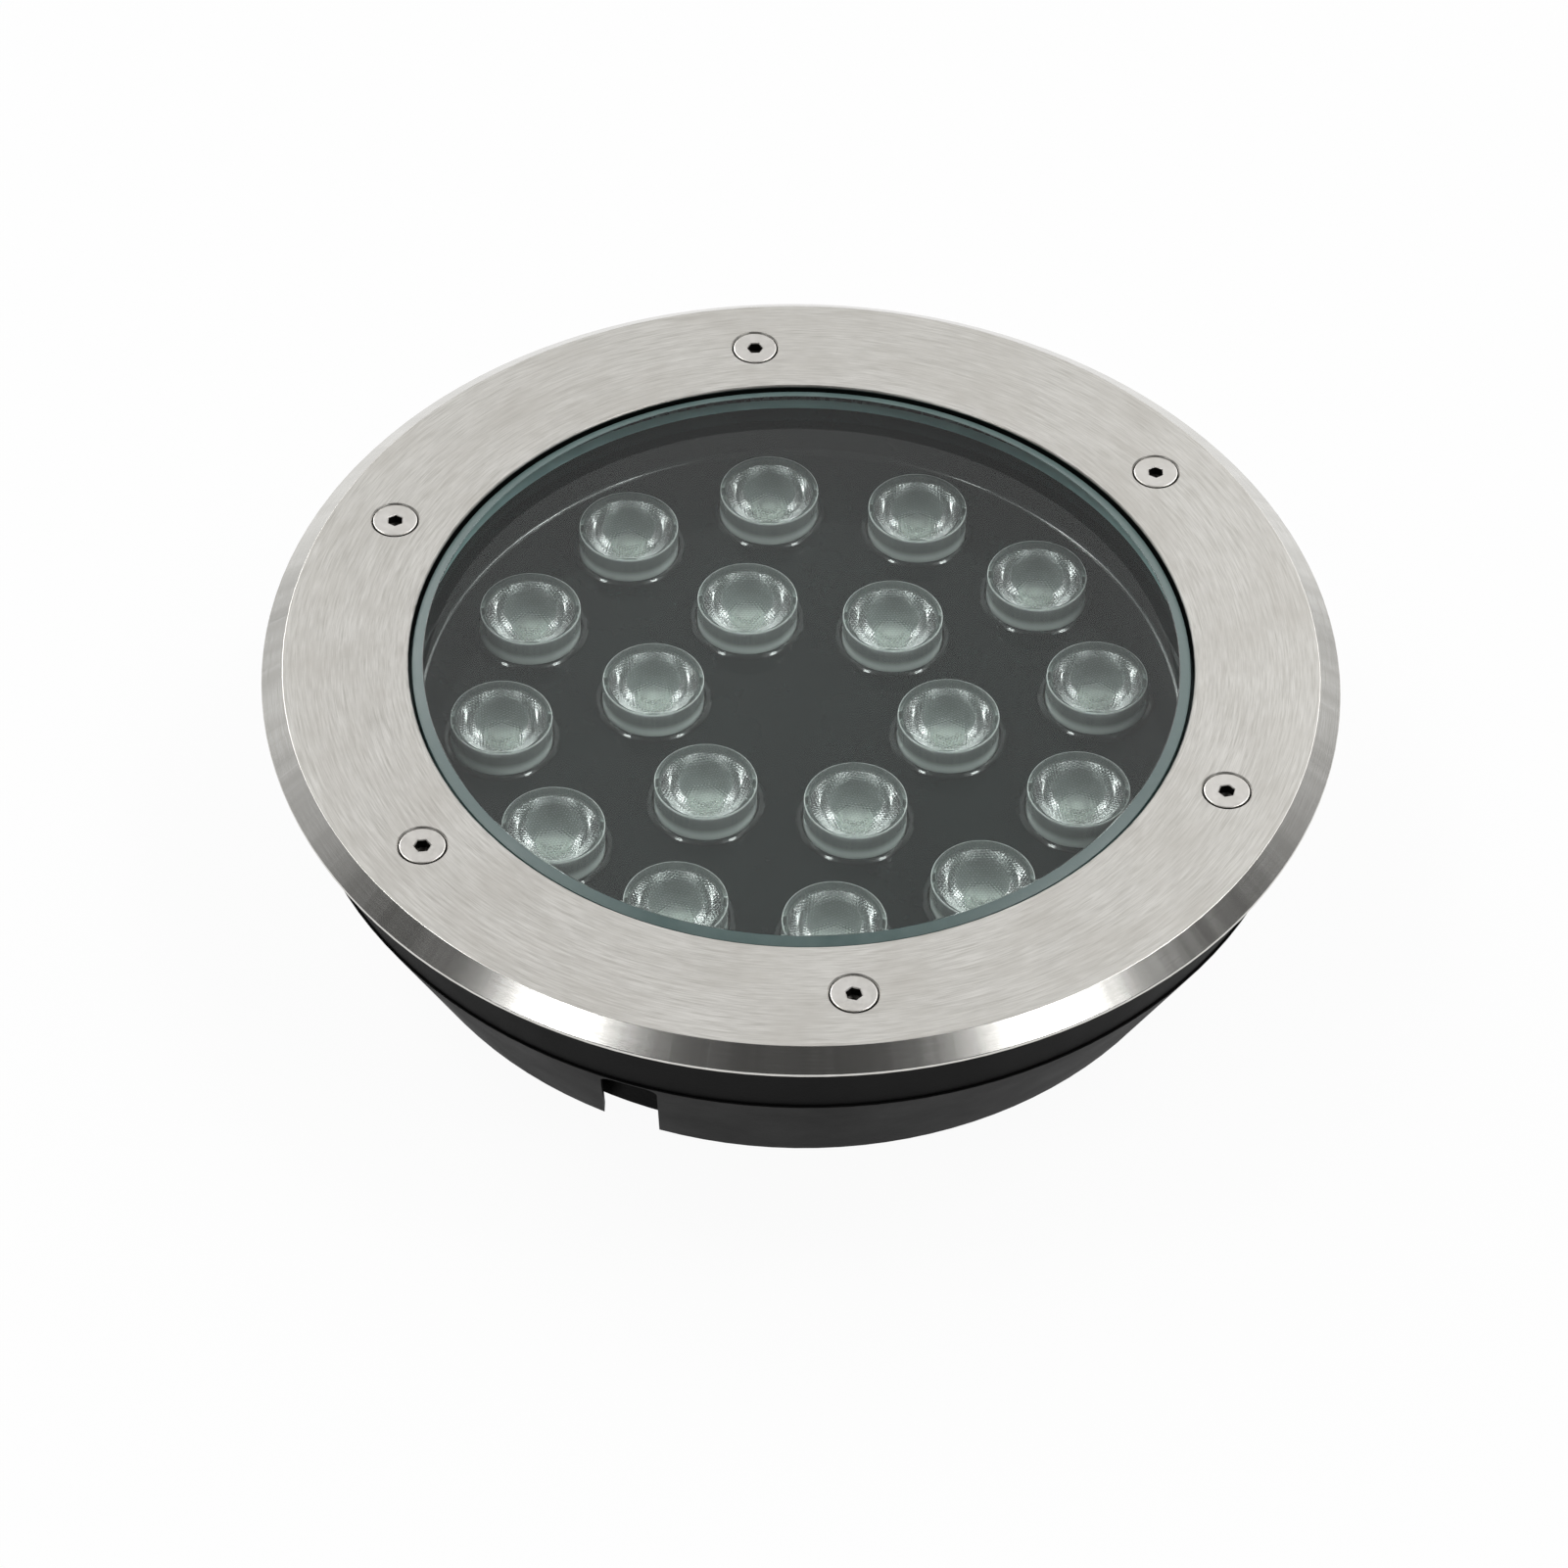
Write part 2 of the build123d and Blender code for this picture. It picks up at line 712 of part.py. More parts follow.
with BuildPart() as terminal_screws:
    with BuildSketch(Plane.XY.offset(terminal_screw_top)):
        with Locations(terminal_centre):
            with GridLocations(terminal_pitch, 1.0, terminal_ways, 1):
                Circle(terminal_screw_radius)
    extrude(amount=-terminal_screw_length)
    with BuildSketch(Plane.XY.offset(terminal_screw_top)):
        with Locations(terminal_centre):
            with GridLocations(terminal_pitch, 1.0, terminal_ways, 1):
                Rectangle(terminal_slot_width, 3 * terminal_screw_radius)
    extrude(amount=-terminal_slot_depth, mode=Mode.SUBTRACT)
terminal_screws.part.label = "terminal_screws"
export_step(terminal_screws.part, "parts/terminal_screws.step")

# ---------------------------------------------------------------- internal leads

driver_end_x = driver_centre[0] + driver_length / 2
terminal_face_y = terminal_centre[1] - terminal_width / 2

# Two leads from the terminal block to the driver
with BuildPart() as input_leads:
    for column_x, row_y in zip(input_lead_columns, input_lead_rows):
        with BuildLine() as route:
            FilletPolyline(
                (column_x, terminal_face_y, input_lead_height),
                (column_x, row_y, input_lead_height),
                (driver_end_x, row_y, input_lead_height),
                radius=input_lead_bend,
            )
        with BuildSketch(Plane(route.line @ 0, z_dir=route.line % 0)):
            Circle(lead_radius)
        sweep(path=route.line)
input_leads.part.label = "input_leads"
export_step(input_leads.part, "parts/input_leads.step")

# Two leads from the driver up through the heat plate to the board's connector
with BuildPart() as output_leads:
    for lead_y in (wire_hole[1] - lead_spacing / 2, wire_hole[1] + lead_spacing / 2):
        with BuildLine() as route:
            FilletPolyline(
                (driver_end_x, lead_y, output_lead_height),
                (wire_hole[0], lead_y, output_lead_height),
                (wire_hole[0], lead_y, board_top),
                radius=output_lead_bend,
            )
        with BuildSketch(Plane(route.line @ 0, z_dir=route.line % 0)):
            Circle(lead_radius)
        sweep(path=route.line)
output_leads.part.label = "output_leads"
export_step(output_leads.part, "parts/output_leads.step")

# ---------------------------------------------------------------- cable gland

hex_start = gland_washer_thickness
hex_end = hex_start + gland_hex_length
top_thread_end = hex_end + gland_top_thread_length
seal_start = hex_end + seal_seat
seal_end = seal_start + seal_length
nut_start = hex_end + nut_gap
nut_end = nut_start + nut_length

with BuildPart() as gland_body:
    with BuildSketch(gland_face.offset(-gland_wall)):
        Circle(gland_thread_radius)
    extrude(amount=gland_wall + hex_start)
    with BuildSketch(gland_face.offset(hex_start)):
        RegularPolygon(gland_flats_half, 6, major_radius=False)
    extrude(amount=gland_hex_length)
    with BuildSketch(gland_face.offset(hex_end)):
        Circle(gland_top_thread_radius)
    extrude(amount=gland_top_thread_length)
    with BuildSketch(gland_face.offset(-gland_wall)):
        Circle(gland_bore_radius)
    extrude(amount=gland_wall + top_thread_end, mode=Mode.SUBTRACT)
    with BuildSketch(gland_face.offset(seal_start)):
        Circle(seal_radius + thread_clearance)
    extrude(amount=top_thread_end - seal_start, mode=Mode.SUBTRACT)
gland_body.part.label = "gland_body"
export_step(gland_body.part, "parts/gland_body.step")

with BuildPart() as gland_washer:
    with BuildSketch(gland_face):
        Circle(gland_flats_half)
        Circle(gland_thread_radius + thread_clearance, mode=Mode.SUBTRACT)
    extrude(amount=gland_washer_thickness)
gland_washer.part.label = "gland_washer"
export_step(gland_washer.part, "parts/gland_washer.step")

with BuildPart() as gland_seal:
    with BuildSketch(gland_face.offset(seal_start)):
        Circle(seal_radius)
        Circle(seal_bore_radius, mode=Mode.SUBTRACT)
    extrude(amount=seal_length)
gland_seal.part.label = "gland_seal"
export_step(gland_seal.part, "parts/gland_seal.step")

with BuildPart() as gland_nut:
    with BuildSketch(gland_face.offset(nut_start)):
        RegularPolygon(gland_flats_half, 6, major_radius=False)
    extrude(amount=nut_length)
    chamfer(gland_nut.faces().sort_by(Axis.Y)[-1].edges(), nut_round)
    with BuildSketch(gland_face.offset(nut_start)):
        Circle(gland_top_thread_radius + thread_clearance)
    extrude(amount=top_thread_end - nut_start + thread_clearance, mode=Mode.SUBTRACT)
    with BuildSketch(gland_face.offset(nut_start)):
        Circle(seal_radius + thread_clearance)
    extrude(amount=seal_end - nut_start, mode=Mode.SUBTRACT)
    with BuildSketch(gland_face.offset(nut_start)):
        Circle(nut_exit_radius)
    extrude(amount=nut_length, mode=Mode.SUBTRACT)
gland_nut.part.label = "gland_nut"
export_step(gland_nut.part, "parts/gland_nut.step")
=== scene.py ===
import json
import math

import bmesh
import bpy
import numpy as np
from mathutils import Matrix, Vector


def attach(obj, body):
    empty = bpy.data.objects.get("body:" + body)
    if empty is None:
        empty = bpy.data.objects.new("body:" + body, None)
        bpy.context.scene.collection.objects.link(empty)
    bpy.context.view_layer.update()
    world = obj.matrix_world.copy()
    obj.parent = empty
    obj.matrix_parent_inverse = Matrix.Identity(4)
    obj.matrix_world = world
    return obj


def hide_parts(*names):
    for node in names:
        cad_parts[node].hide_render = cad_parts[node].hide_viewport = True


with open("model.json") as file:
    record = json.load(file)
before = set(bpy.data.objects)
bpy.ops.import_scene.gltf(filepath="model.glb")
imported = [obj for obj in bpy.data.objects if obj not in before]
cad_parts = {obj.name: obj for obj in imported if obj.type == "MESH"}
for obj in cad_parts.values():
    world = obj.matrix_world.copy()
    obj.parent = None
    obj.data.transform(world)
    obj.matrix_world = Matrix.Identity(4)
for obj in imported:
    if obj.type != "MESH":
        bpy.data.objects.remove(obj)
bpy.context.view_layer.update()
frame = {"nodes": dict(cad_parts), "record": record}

# Sizes are in metres and angles in degrees, in the CAD's frame: z = 0 is the ground
# under the sleeve, and the viewer stands at -Y.

# Face ring
RING_TOP = 0.054
RING_FACE_RADIUS = 0.1104
# painted shade: what lies this far under the ring's face, within this radius, is painted dull and
# dark
PAINTED_SHADE_DEPTHS = (0.0001, 0.0006)
PAINTED_SHADE_RADIUS = 0.1064

# Face screws
SCREW_CIRCLE = 0.0968
SCREW_PHASE = 97.0
SCREW_COUNT = 6
SCREW_SEED = 5
SCREW_TOP = 0.05395
SCREW_HEAD_RADIUS = 0.0048
SCREW_HEAD_EDGE = 0.0534
SCREW_CONE_BOTTOM = 0.0511
SCREW_SHANK_RADIUS = 0.0025
SCREW_BOTTOM = 0.03795
SCREW_ROUNDING = 0.00018
SCREW_SIDES = 48
SOCKET_FLATS = 0.0030
SOCKET_DEPTH = 0.0022

# Glass
GLASS_TOP = 0.0537
GLASS_BOTTOM = 0.0437
GLASS_FLANGE_TOP = 0.0490
GLASS_RADIUS = 0.0830
GLASS_FLANGE_RADIUS = 0.0885
GLASS_BEVEL_WIDTH = 0.0024
GLASS_BEVEL_DROP = 0.0008
GLASS_BORDER_RADIUS = 0.0822
GLASS_FLANGE_ROUND = 0.0003
GLASS_EDGE_ROUND = 0.0002
GLASS_TOP_ROUND = 0.0008

# Tray
TRAY_TOP = 0.0293
TRAY_WALL_RADIUS = 0.08265
TRAY_FILLET = 0.0013
TRAY_FILLET_STEPS = 8
LIP_INNER_RADIUS = 0.0115
LIP_OUTER_RADIUS = 0.0126
LIP_EDGE = 0.00020
LIP_SLOPE = 0.00040
LIP_HEIGHT = 0.00053
LIP_SIDES = 72

# Lenses
OUTER_LENS_CIRCLE = 0.0642
INNER_LENS_CIRCLE = 0.0320
OUTER_LENS_COUNT = 12
INNER_LENS_COUNT = 6
INNER_LENS_TURN = 15.0
LENS_RADIUS = 0.0109
LENS_TOP = 0.0356
LENS_SHOULDER = 0.0290
LENS_BOTTOM = 0.0254
LENS_EDGE_ROUND = 0.00022
LENS_DISH_RADIUS = 0.0096
LENS_DISH_DEPTH = 0.0008
LENS_DISH_TOP = 0.0351
LENS_DISH_CELLS = 132
LENS_RIM_RADIUS = 0.0099
LENS_RIM_HALF_WIDTH = 0.00006
LENS_RIM_DROP = 0.00012
LENS_SKIRT_RADIUS = 0.0099
LENS_GROOVE_TOP = 0.0338
# the lens's hidden bowl, in radius and height, from its top to its bottom
LENS_BOWL = (
    (0.0095, 0.0338),
    (0.0092, 0.0328),
    (0.0088, 0.0315),
    (0.0083, 0.0302),
    (0.0076, 0.0289),
    (0.0067, 0.0276),
    (0.0056, 0.0264),
    (0.0044, 0.0254),
)
LENS_POCKET_RADIUS = 0.0027
LENS_POCKET_DEPTH = 0.0032
FACET_PITCH = 0.00076
FACET_DEPTH = 0.000065
# each lens's facets are turned this much further than those of the lens before it
FACET_TURN = 37.0
# the order of a lens's materials
CLEAR, SKIRT, BOWL, POCKET = range(4)

# Camera: its place is across, along and away from the middle of the ring's face
CAMERA_ELEVATION = 46.70
CAMERA_ROLL = -1.23
CAMERA_PLACE = (-0.003775, -0.028114, 1.15867)
CAMERA_FOCAL_PIXELS = 5551.68
CAMERA_FRAME_PIXELS = 1601.0
CAMERA_SENSOR = 36.0

# Soft boxes round the studio, in degrees and radiance; azimuth 0 is the viewer's side
# and 90 is on the right, and a radiance of 1 looks as bright as white paper.
SOFT_BOXES = (
    # azimuth, elevation, radius, softness, radiance
    (58.0, 47.6, 12.8, 4.0, 0.90),
    (58.0, 47.6, 4.5, 1.2, 9.00),
    (-52.0, 48.5, 12.4, 4.0, 0.45),
    (-53.0, 48.5, 4.3, 1.2, 9.00),
    (136.8, 38.1, 21.9, 9.0, 1.13),
    (-145.3, 31.6, 37.0, 9.0, 0.48),
    (149.0, 23.9, 19.8, 8.0, 1.24),
    (105.9, 56.5, 11.7, 8.0, 3.00),
    (105.9, 56.5, 5.0, 1.0, 8.00),
    (-110.0, 57.0, 11.0, 6.0, 2.50),
    (-110.0, 57.0, 5.0, 1.0, 8.00),
    (-142.2, 30.9, 15.0, 8.0, 2.40),
    (-142.2, 30.9, 5.0, 2.0, 6.00),
)
STUDIO_LEVEL = 0.072
FLOOR_WHITE = 0.95
FLOOR_MATT = 0.86
FLOOR_HALF_WIDTH = 6.0

# Brushed steel: marks are given as how often they change round the axis and along the
# radius, and colours as the darkest and the lightest.
FINE_STREAKS = (22.0, 5600.0)
MEDIUM_STREAKS = (9.0, 2300.0)
BROAD_STAINS = (5.0, 110.0)
STEEL_MOTTLE = 60.0
BEVEL_SCRATCHES = 150
BEVEL_PATCHES = 18
FACE_COLOURS = ((0.545, 0.530, 0.490), (0.735, 0.720, 0.685))
FACE_STAIN = (0.575, 0.553, 0.510)
FACE_ROUGHNESS = (0.34, 0.44)
BEVEL_COLOURS = ((0.60, 0.59, 0.555), (0.72, 0.71, 0.685))
BEVEL_SCRATCH = (0.82, 0.81, 0.79)
BEVEL_PATCH = (0.57, 0.56, 0.53)
BEVEL_ROUGHNESS = (0.18, 0.23)
# painted shade: the dark steel painted inside the screw holes and the opening
STEEL_PAINTED_SHADE = (0.045, 0.043, 0.040)
STREAK_DEPTH = 0.000012

# Glass and lenses
GLASS_IOR = 1.52
LENS_IOR = 1.49
GLASS_TINT = (0.92, 0.965, 0.95)
# painted shade for the hollows between a lens's facets, darker than their crowns
LENS_HOLLOW_PAINTED_SHADE = (0.66, 0.67, 0.665)
LENS_CROWN_TINT = (1.0, 1.0, 1.0)
LENS_SHADOW_TINT = (0.85, 0.88, 0.87)
BOWL_TINT = (0.96, 0.97, 0.965)
SKIRT_COLOURS = ((0.22, 0.235, 0.23), (0.27, 0.285, 0.28))
# painted light: the pale bands at the skirt's foot and top
SKIRT_FOOT_PAINTED_LIGHT = (0.88, 0.90, 0.89)
SKIRT_TOP_PAINTED_LIGHT = (0.80, 0.82, 0.81)
SKIRT_SHADOW_TINT = (0.5, 0.55, 0.53)
# heights between which the skirt's painted light, a pale band at its foot and one at its top, fades
# in
SKIRT_FOOT_LIGHT_BAND = (0.0325, 0.0300)
SKIRT_TOP_LIGHT_BAND = (0.0351, 0.0354)
SKIRT_DRAW = (1500, 1500, 120)

# dark and light colour, roughness, grains in a metre, depth of the grain
METALS = {
    "screw_steel": ((0.68, 0.66, 0.62), (0.79, 0.77, 0.74), 0.36, 1600.0, 0.00001),
    # painted shade: dark steel that stands in for the shade in the screw sockets and under the
    # heads
    "screw_recess": ((0.055, 0.052, 0.048), (0.085, 0.080, 0.074), 0.45, 900.0, 0.00003),
    "heat_plate_aluminium": ((0.68, 0.69, 0.70), (0.78, 0.79, 0.80), 0.4, 900.0, 0.00003),
    "brass_screw": ((0.62, 0.46, 0.20), (0.74, 0.57, 0.28), 0.3, 900.0, 0.00003),
    "nickel_brass": ((0.58, 0.56, 0.50), (0.70, 0.68, 0.62), 0.25, 900.0, 0.00003),
}
# the same, and the specular level
MOULDINGS = {
    "grey_silicone": (
        (0.020, 0.020, 0.020), (0.030, 0.030, 0.030), 0.6, 1500.0, 0.00005, 0.5
    ),
    "black_sleeve_plastic": (
        (0.0060, 0.0060, 0.0060), (0.0090, 0.0090, 0.0090), 0.50, 1800.0, 0.00004, 0.025
    ),
    "black_painted_casting": (
        (0.004, 0.004, 0.004), (0.006, 0.006, 0.006), 0.5, 700.0, 0.00010, 0.04
    ),
    "black_tray_plastic": (
        (0.0026, 0.0052, 0.0046), (0.0038, 0.0070, 0.0063), 0.05, 300.0, 0.00000005, 0.12
    ),
    "tray_polish": (
        (0.0026, 0.0052, 0.0046), (0.0038, 0.0070, 0.0063), 0.07, 300.0, 0.00000005, 1.0
    ),
    "white_holder_plastic": (
        (0.17, 0.185, 0.18), (0.21, 0.225, 0.22), 0.5, 1500.0, 0.00004, 0.5
    ),
    "diode_phosphor": ((0.56, 0.58, 0.54), (0.64, 0.66, 0.62), 0.4, 2500.0, 0.00002, 0.5),
    "white_board": ((0.64, 0.65, 0.63), (0.72, 0.73, 0.71), 0.42, 1800.0, 0.00002, 0.5),
    "thermal_pad_rubber": ((0.26, 0.30, 0.36), (0.32, 0.36, 0.42), 0.75, 1200.0, 0.00004, 0.5),
    "driver_plastic": ((0.60, 0.60, 0.58), (0.70, 0.70, 0.68), 0.5, 1500.0, 0.00004, 0.5),
    "green_board": ((0.02, 0.14, 0.06), (0.03, 0.19, 0.08), 0.35, 1800.0, 0.00002, 0.5),
    "transformer_tape": ((0.60, 0.46, 0.07), (0.70, 0.55, 0.10), 0.4, 900.0, 0.00003, 0.5),
    "capacitor_sleeve": ((0.02, 0.03, 0.06), (0.03, 0.04, 0.08), 0.3, 1500.0, 0.00002, 0.5),
    "lead_insulation": ((0.45, 0.08, 0.06), (0.55, 0.11, 0.08), 0.4, 2000.0, 0.00002, 0.5),
    "black_rubber": (
        (0.015, 0.015, 0.015), (0.022, 0.022, 0.022), 0.7, 2000.0, 0.00005, 0.5
    ),
}
# dark and light colour
GROUND_GLASSES = {
    "ground_bevel": ((0.090, 0.140, 0.135), (0.118, 0.172, 0.166)),
    "ground_edge": ((0.190, 0.310, 0.305), (0.240, 0.370, 0.365)),
}
# least and most roughness
FROSTINGS = {
    "lens_bowl": (0.06, 0.10),
    "lens_pocket": (0.40, 0.50),
}


# ---------------------------------------------------------------- camera

def set_camera():
    """The photograph's viewing angle, from well above the ring, with a long lens."""
    elevation = math.radians(CAMERA_ELEVATION)
    roll = math.radians(CAMERA_ROLL)
    across, along, away = CAMERA_PLACE
    east = Vector((1, 0, 0))
    upward = Vector((0, math.sin(elevation), math.cos(elevation)))
    towards_viewer = Vector((0, -math.cos(elevation), math.sin(elevation)))
    right = math.cos(roll) * east - math.sin(roll) * upward
    up = math.sin(roll) * east + math.cos(roll) * upward
    place = Vector((0, 0, RING_TOP)) + across * right + along * up + away * towards_viewer
    camera = bpy.data.cameras.new("studio_camera")
    camera.sensor_width = CAMERA_SENSOR
    camera.lens = CAMERA_FOCAL_PIXELS / CAMERA_FRAME_PIXELS * CAMERA_SENSOR
    camera.clip_start = 0.05
    camera.clip_end = 50
    holder = bpy.data.objects.new("studio_camera", camera)
    turn = Matrix((right, up, towards_viewer)).transposed()
    holder.matrix_world = Matrix.Translation(place) @ turn.to_4x4()
    bpy.context.scene.collection.objects.link(holder)
    bpy.context.scene.camera = holder


# ---------------------------------------------------------------- node helpers

def add_node(tree, kind, inputs=None, **settings):
    """A shader or geometry node, with its inputs set to values or linked to sockets."""
    made = tree.nodes.new(kind)
    for name, value in settings.items():
        setattr(made, name, value)
    for key, value in (inputs or {}).items():
        feed(tree, value, made.inputs[key])
    return made


def feed(tree, value, socket):
    """Link a socket to an input, or set the input to a value."""
    if isinstance(value, bpy.types.NodeSocket):
        tree.links.new(value, socket)
    else:
        socket.default_value = value


def math_node(tree, operation, first, second=0.0):
    made = add_node(tree, "ShaderNodeMath", {0: first, 1: second}, operation=operation)
    return made.outputs[0]


def vector_node(tree, operation, first, second=(0, 0, 0)):
    made = add_node(tree, "ShaderNodeVectorMath", {0: first, 1: second}, operation=operation)
    return made.outputs["Value" if operation in ("LENGTH", "DOT_PRODUCT") else "Vector"]


def upright(tree, value):
    """A vector that points up and is as long as the value."""
    return add_node(tree, "ShaderNodeCombineXYZ", {"Z": value}).outputs[0]


def object_point(tree):
    return add_node(tree, "ShaderNodeTexCoord").outputs["Object"]


def height_of(tree, point):
    return add_node(tree, "ShaderNodeSeparateXYZ", {0: point}).outputs["Z"]


def noise(tree, point, scale, detail=3.0, roughness=0.5):
    made = add_node(
        tree,
        "ShaderNodeTexNoise",
        {"Vector": point, "Scale": scale, "Detail": detail, "Roughness": roughness},
    )
    return made.outputs["Fac"]


def spread(tree, value, low, high, new_low=0.0, new_high=1.0, smooth=False):
    """The value's place between low and high, drawn out between new_low and new_high."""
    made = add_node(
        tree,
        "ShaderNodeMapRange",
        {"Value": value, "From Min": low, "From Max": high, "To Min": new_low, "To Max": new_high},
        interpolation_type="SMOOTHSTEP" if smooth else "LINEAR",
    )
    return made.outputs["Result"]


def blend_values(tree, share, first, second):
    """A number that goes from first to second as the share goes from 0 to 1."""
    made = add_node(tree, "ShaderNodeMix", {0: share, 2: first, 3: second}, data_type="FLOAT")
    return made.outputs[0]


def tint(tree, share, first, second):
    """A colour that goes from first to second as the share goes from 0 to 1."""
    first, second = (
        colour if isinstance(colour, bpy.types.NodeSocket) else (*colour, 1.0)
        for colour in (first, second)
    )
    made = add_node(tree, "ShaderNodeMix", {0: share, 6: first, 7: second}, data_type="RGBA")
    return made.outputs[2]


def bump(tree, height, distance, strength):
    inputs = {"Height": height, "Distance": distance, "Strength": strength}
    return add_node(tree, "ShaderNodeBump", inputs).outputs["Normal"]


def new_material(name):
    made = bpy.data.materials.new(name)
    made.use_nodes = True
    tree = made.node_tree
    tree.nodes.clear()
    return made, tree


def finish_surface(tree, surface):
    add_node(tree, "ShaderNodeOutputMaterial", {"Surface": surface})


def principled(tree, **inputs):
    """A Principled shader; an input's name has _ for a space."""
    named = {key.replace("_", " "): value for key, value in inputs.items()}
    if not isinstance(named["Base Color"], bpy.types.NodeSocket):
        named["Base Color"] = (*named["Base Color"], 1.0)
    return add_node(tree, "ShaderNodeBsdfPrincipled", named)


def ring_place(tree):
    """The distance from the axis, the height, and the direction from the axis."""
    point = object_point(tree)
    flat = vector_node(tree, "MULTIPLY", point, (1, 1, 0))
    radius = vector_node(tree, "LENGTH", flat)
    direction = vector_node(tree, "NORMALIZE", flat)
    return radius, height_of(tree, point), direction


def turned_point(tree, place, along, across):
    """A point that runs slowly round the axis and fast along the radius, for turned marks."""
    radius, height, direction = place
    reach = math_node(tree, "MULTIPLY", math_node(tree, "SUBTRACT", radius, height), across)
    around_axis = add_node(
        tree, "ShaderNodeVectorMath", {0: direction, "Scale": along}, operation="SCALE"
    ).outputs["Vector"]
    return vector_node(tree, "ADD", around_axis, upright(tree, reach))


def marks_round_axis(tree, direction, count):
    """Marks that run straight down the radius and change round the axis."""
    point = vector_node(tree, "MULTIPLY", direction, (count, count, 0))
    return noise(tree, point, 1.0, detail=4.0, roughness=0.6)


# ---------------------------------------------------------------- metals

def brushed_steel():
    """The face ring: brushed round the axis on top, smoother and marked across on the
    bevel, and painted dark inside the screw holes and the opening, as painted shade."""
    made, tree = new_material("brushed_stainless")
    place = ring_place(tree)
    radius, height, direction = place
    on_bevel = spread(tree, radius, RING_FACE_RADIUS - 0.0001, RING_FACE_RADIUS + 0.00005)

    fine = noise(tree, turned_point(tree, place, *FINE_STREAKS), 1.0, detail=2.0)
    medium = noise(tree, turned_point(tree, place, *MEDIUM_STREAKS), 1.0, roughness=0.6)
    streaks = blend_values(tree, 0.5, fine, medium)
    stains = noise(tree, turned_point(tree, place, *BROAD_STAINS), 1.0, detail=4.0, roughness=0.6)
    mottle = noise(tree, object_point(tree), STEEL_MOTTLE, detail=5.0, roughness=0.62)
    cloud = blend_values(tree, 0.5, stains, mottle)
    face = tint(tree, spread(tree, streaks, 0.32, 0.60), *FACE_COLOURS)
    face = tint(tree, spread(tree, cloud, 0.56, 0.36, 0.0, 0.55), face, FACE_STAIN)

    scratches = marks_round_axis(tree, direction, BEVEL_SCRATCHES)
    patches = marks_round_axis(tree, direction, BEVEL_PATCHES)
    bevel = tint(tree, spread(tree, streaks, 0.32, 0.62), *BEVEL_COLOURS)
    bevel = tint(tree, spread(tree, scratches, 0.60, 0.74, 0.0, 0.6), bevel, BEVEL_SCRATCH)
    bevel = tint(tree, spread(tree, patches, 0.60, 0.38, 0.0, 0.6), bevel, BEVEL_PATCH)

    # painted shade: steel deep under the face and inside the holes and the opening is painted dark
    deep = spread(tree, height, *(RING_TOP - depth for depth in PAINTED_SHADE_DEPTHS))
    inside = spread(tree, radius, PAINTED_SHADE_RADIUS + 0.0001, PAINTED_SHADE_RADIUS)
    painted_shade_share = math_node(tree, "MULTIPLY", deep, inside)
    shader = principled(
        tree,
        Base_Color=tint(tree, painted_shade_share, tint(tree, on_bevel, face, bevel), STEEL_PAINTED_SHADE),
        Metallic=1.0,
        Roughness=blend_values(
            tree,
            on_bevel,
            spread(tree, streaks, 0.3, 0.7, *FACE_ROUGHNESS),
            spread(tree, patches, 0.3, 0.7, *BEVEL_ROUGHNESS),
        ),
        Normal=bump(tree, streaks, STREAK_DEPTH, 0.5),
    )
    finish_surface(tree, shader.outputs[0])
    return made


def plain_metal(name, dark, light, rough, grain, depth):
    """Machined or plated metal with a faint grain."""
    made, tree = new_material(name)
    point = object_point(tree)
    fine = noise(tree, point, grain, roughness=0.6)
    broad = noise(tree, point, grain / 9.0, detail=4.0, roughness=0.6)
    shader = principled(
        tree,
        Base_Color=tint(tree, spread(tree, broad, 0.3, 0.7), dark, light),
        Metallic=1.0,
        Roughness=spread(tree, fine, 0.3, 0.7, rough * 0.85, rough * 1.2),
        Normal=bump(tree, fine, depth, 0.3),
    )
    finish_surface(tree, shader.outputs[0])
    return made


# ---------------------------------------------------------------- plastics, paint, rubber

def moulded(name, dark, light, rough, grain, depth, specular):
    """A moulded or painted surface: a fine grain over broad, faint changes of tone."""
    made, tree = new_material(name)
    point = object_point(tree)
    fine = noise(tree, point, grain, detail=2.0)
    broad = noise(tree, point, 45.0, detail=5.0, roughness=0.62)
    shader = principled(
        tree,
        Base_Color=tint(tree, spread(tree, broad, 0.3, 0.7), dark, light),
        Roughness=spread(tree, broad, 0.25, 0.75, rough * 0.88, rough * 1.14),
        Specular_IOR_Level=specular,
        Normal=bump(tree, fine, depth, 0.6),
    )
    finish_surface(tree, shader.outputs[0])
    return made


# ---------------------------------------------------------------- glass and lenses

def let_lamps_through(tree, shader, passed):
    """Lamps shine through the piece, so that what lies under it is lit."""
    clear = add_node(tree, "ShaderNodeBsdfTransparent", {"Color": (*passed, 1.0)})
    path = add_node(tree, "ShaderNodeLightPath")
    return add_node(
        tree,
        "ShaderNodeMixShader",
        {0: path.outputs["Is Shadow Ray"], 1: shader.outputs[0], 2: clear.outputs[0]},
    ).outputs[0]


def polished_glass():
    """The glass's clear faces, with a faint smear."""
    made, tree = new_material("tempered_glass")
    smear = noise(tree, object_point(tree), 26.0, detail=4.0, roughness=0.6)
    shader = principled(
        tree,
        Base_Color=GLASS_TINT,
        Roughness=spread(tree, smear, 0.4, 0.75, 0.0, 0.012),
        IOR=GLASS_IOR,
        Transmission_Weight=1.0,
    )
    finish_surface(tree, let_lamps_through(tree, shader, GLASS_TINT))
    return made


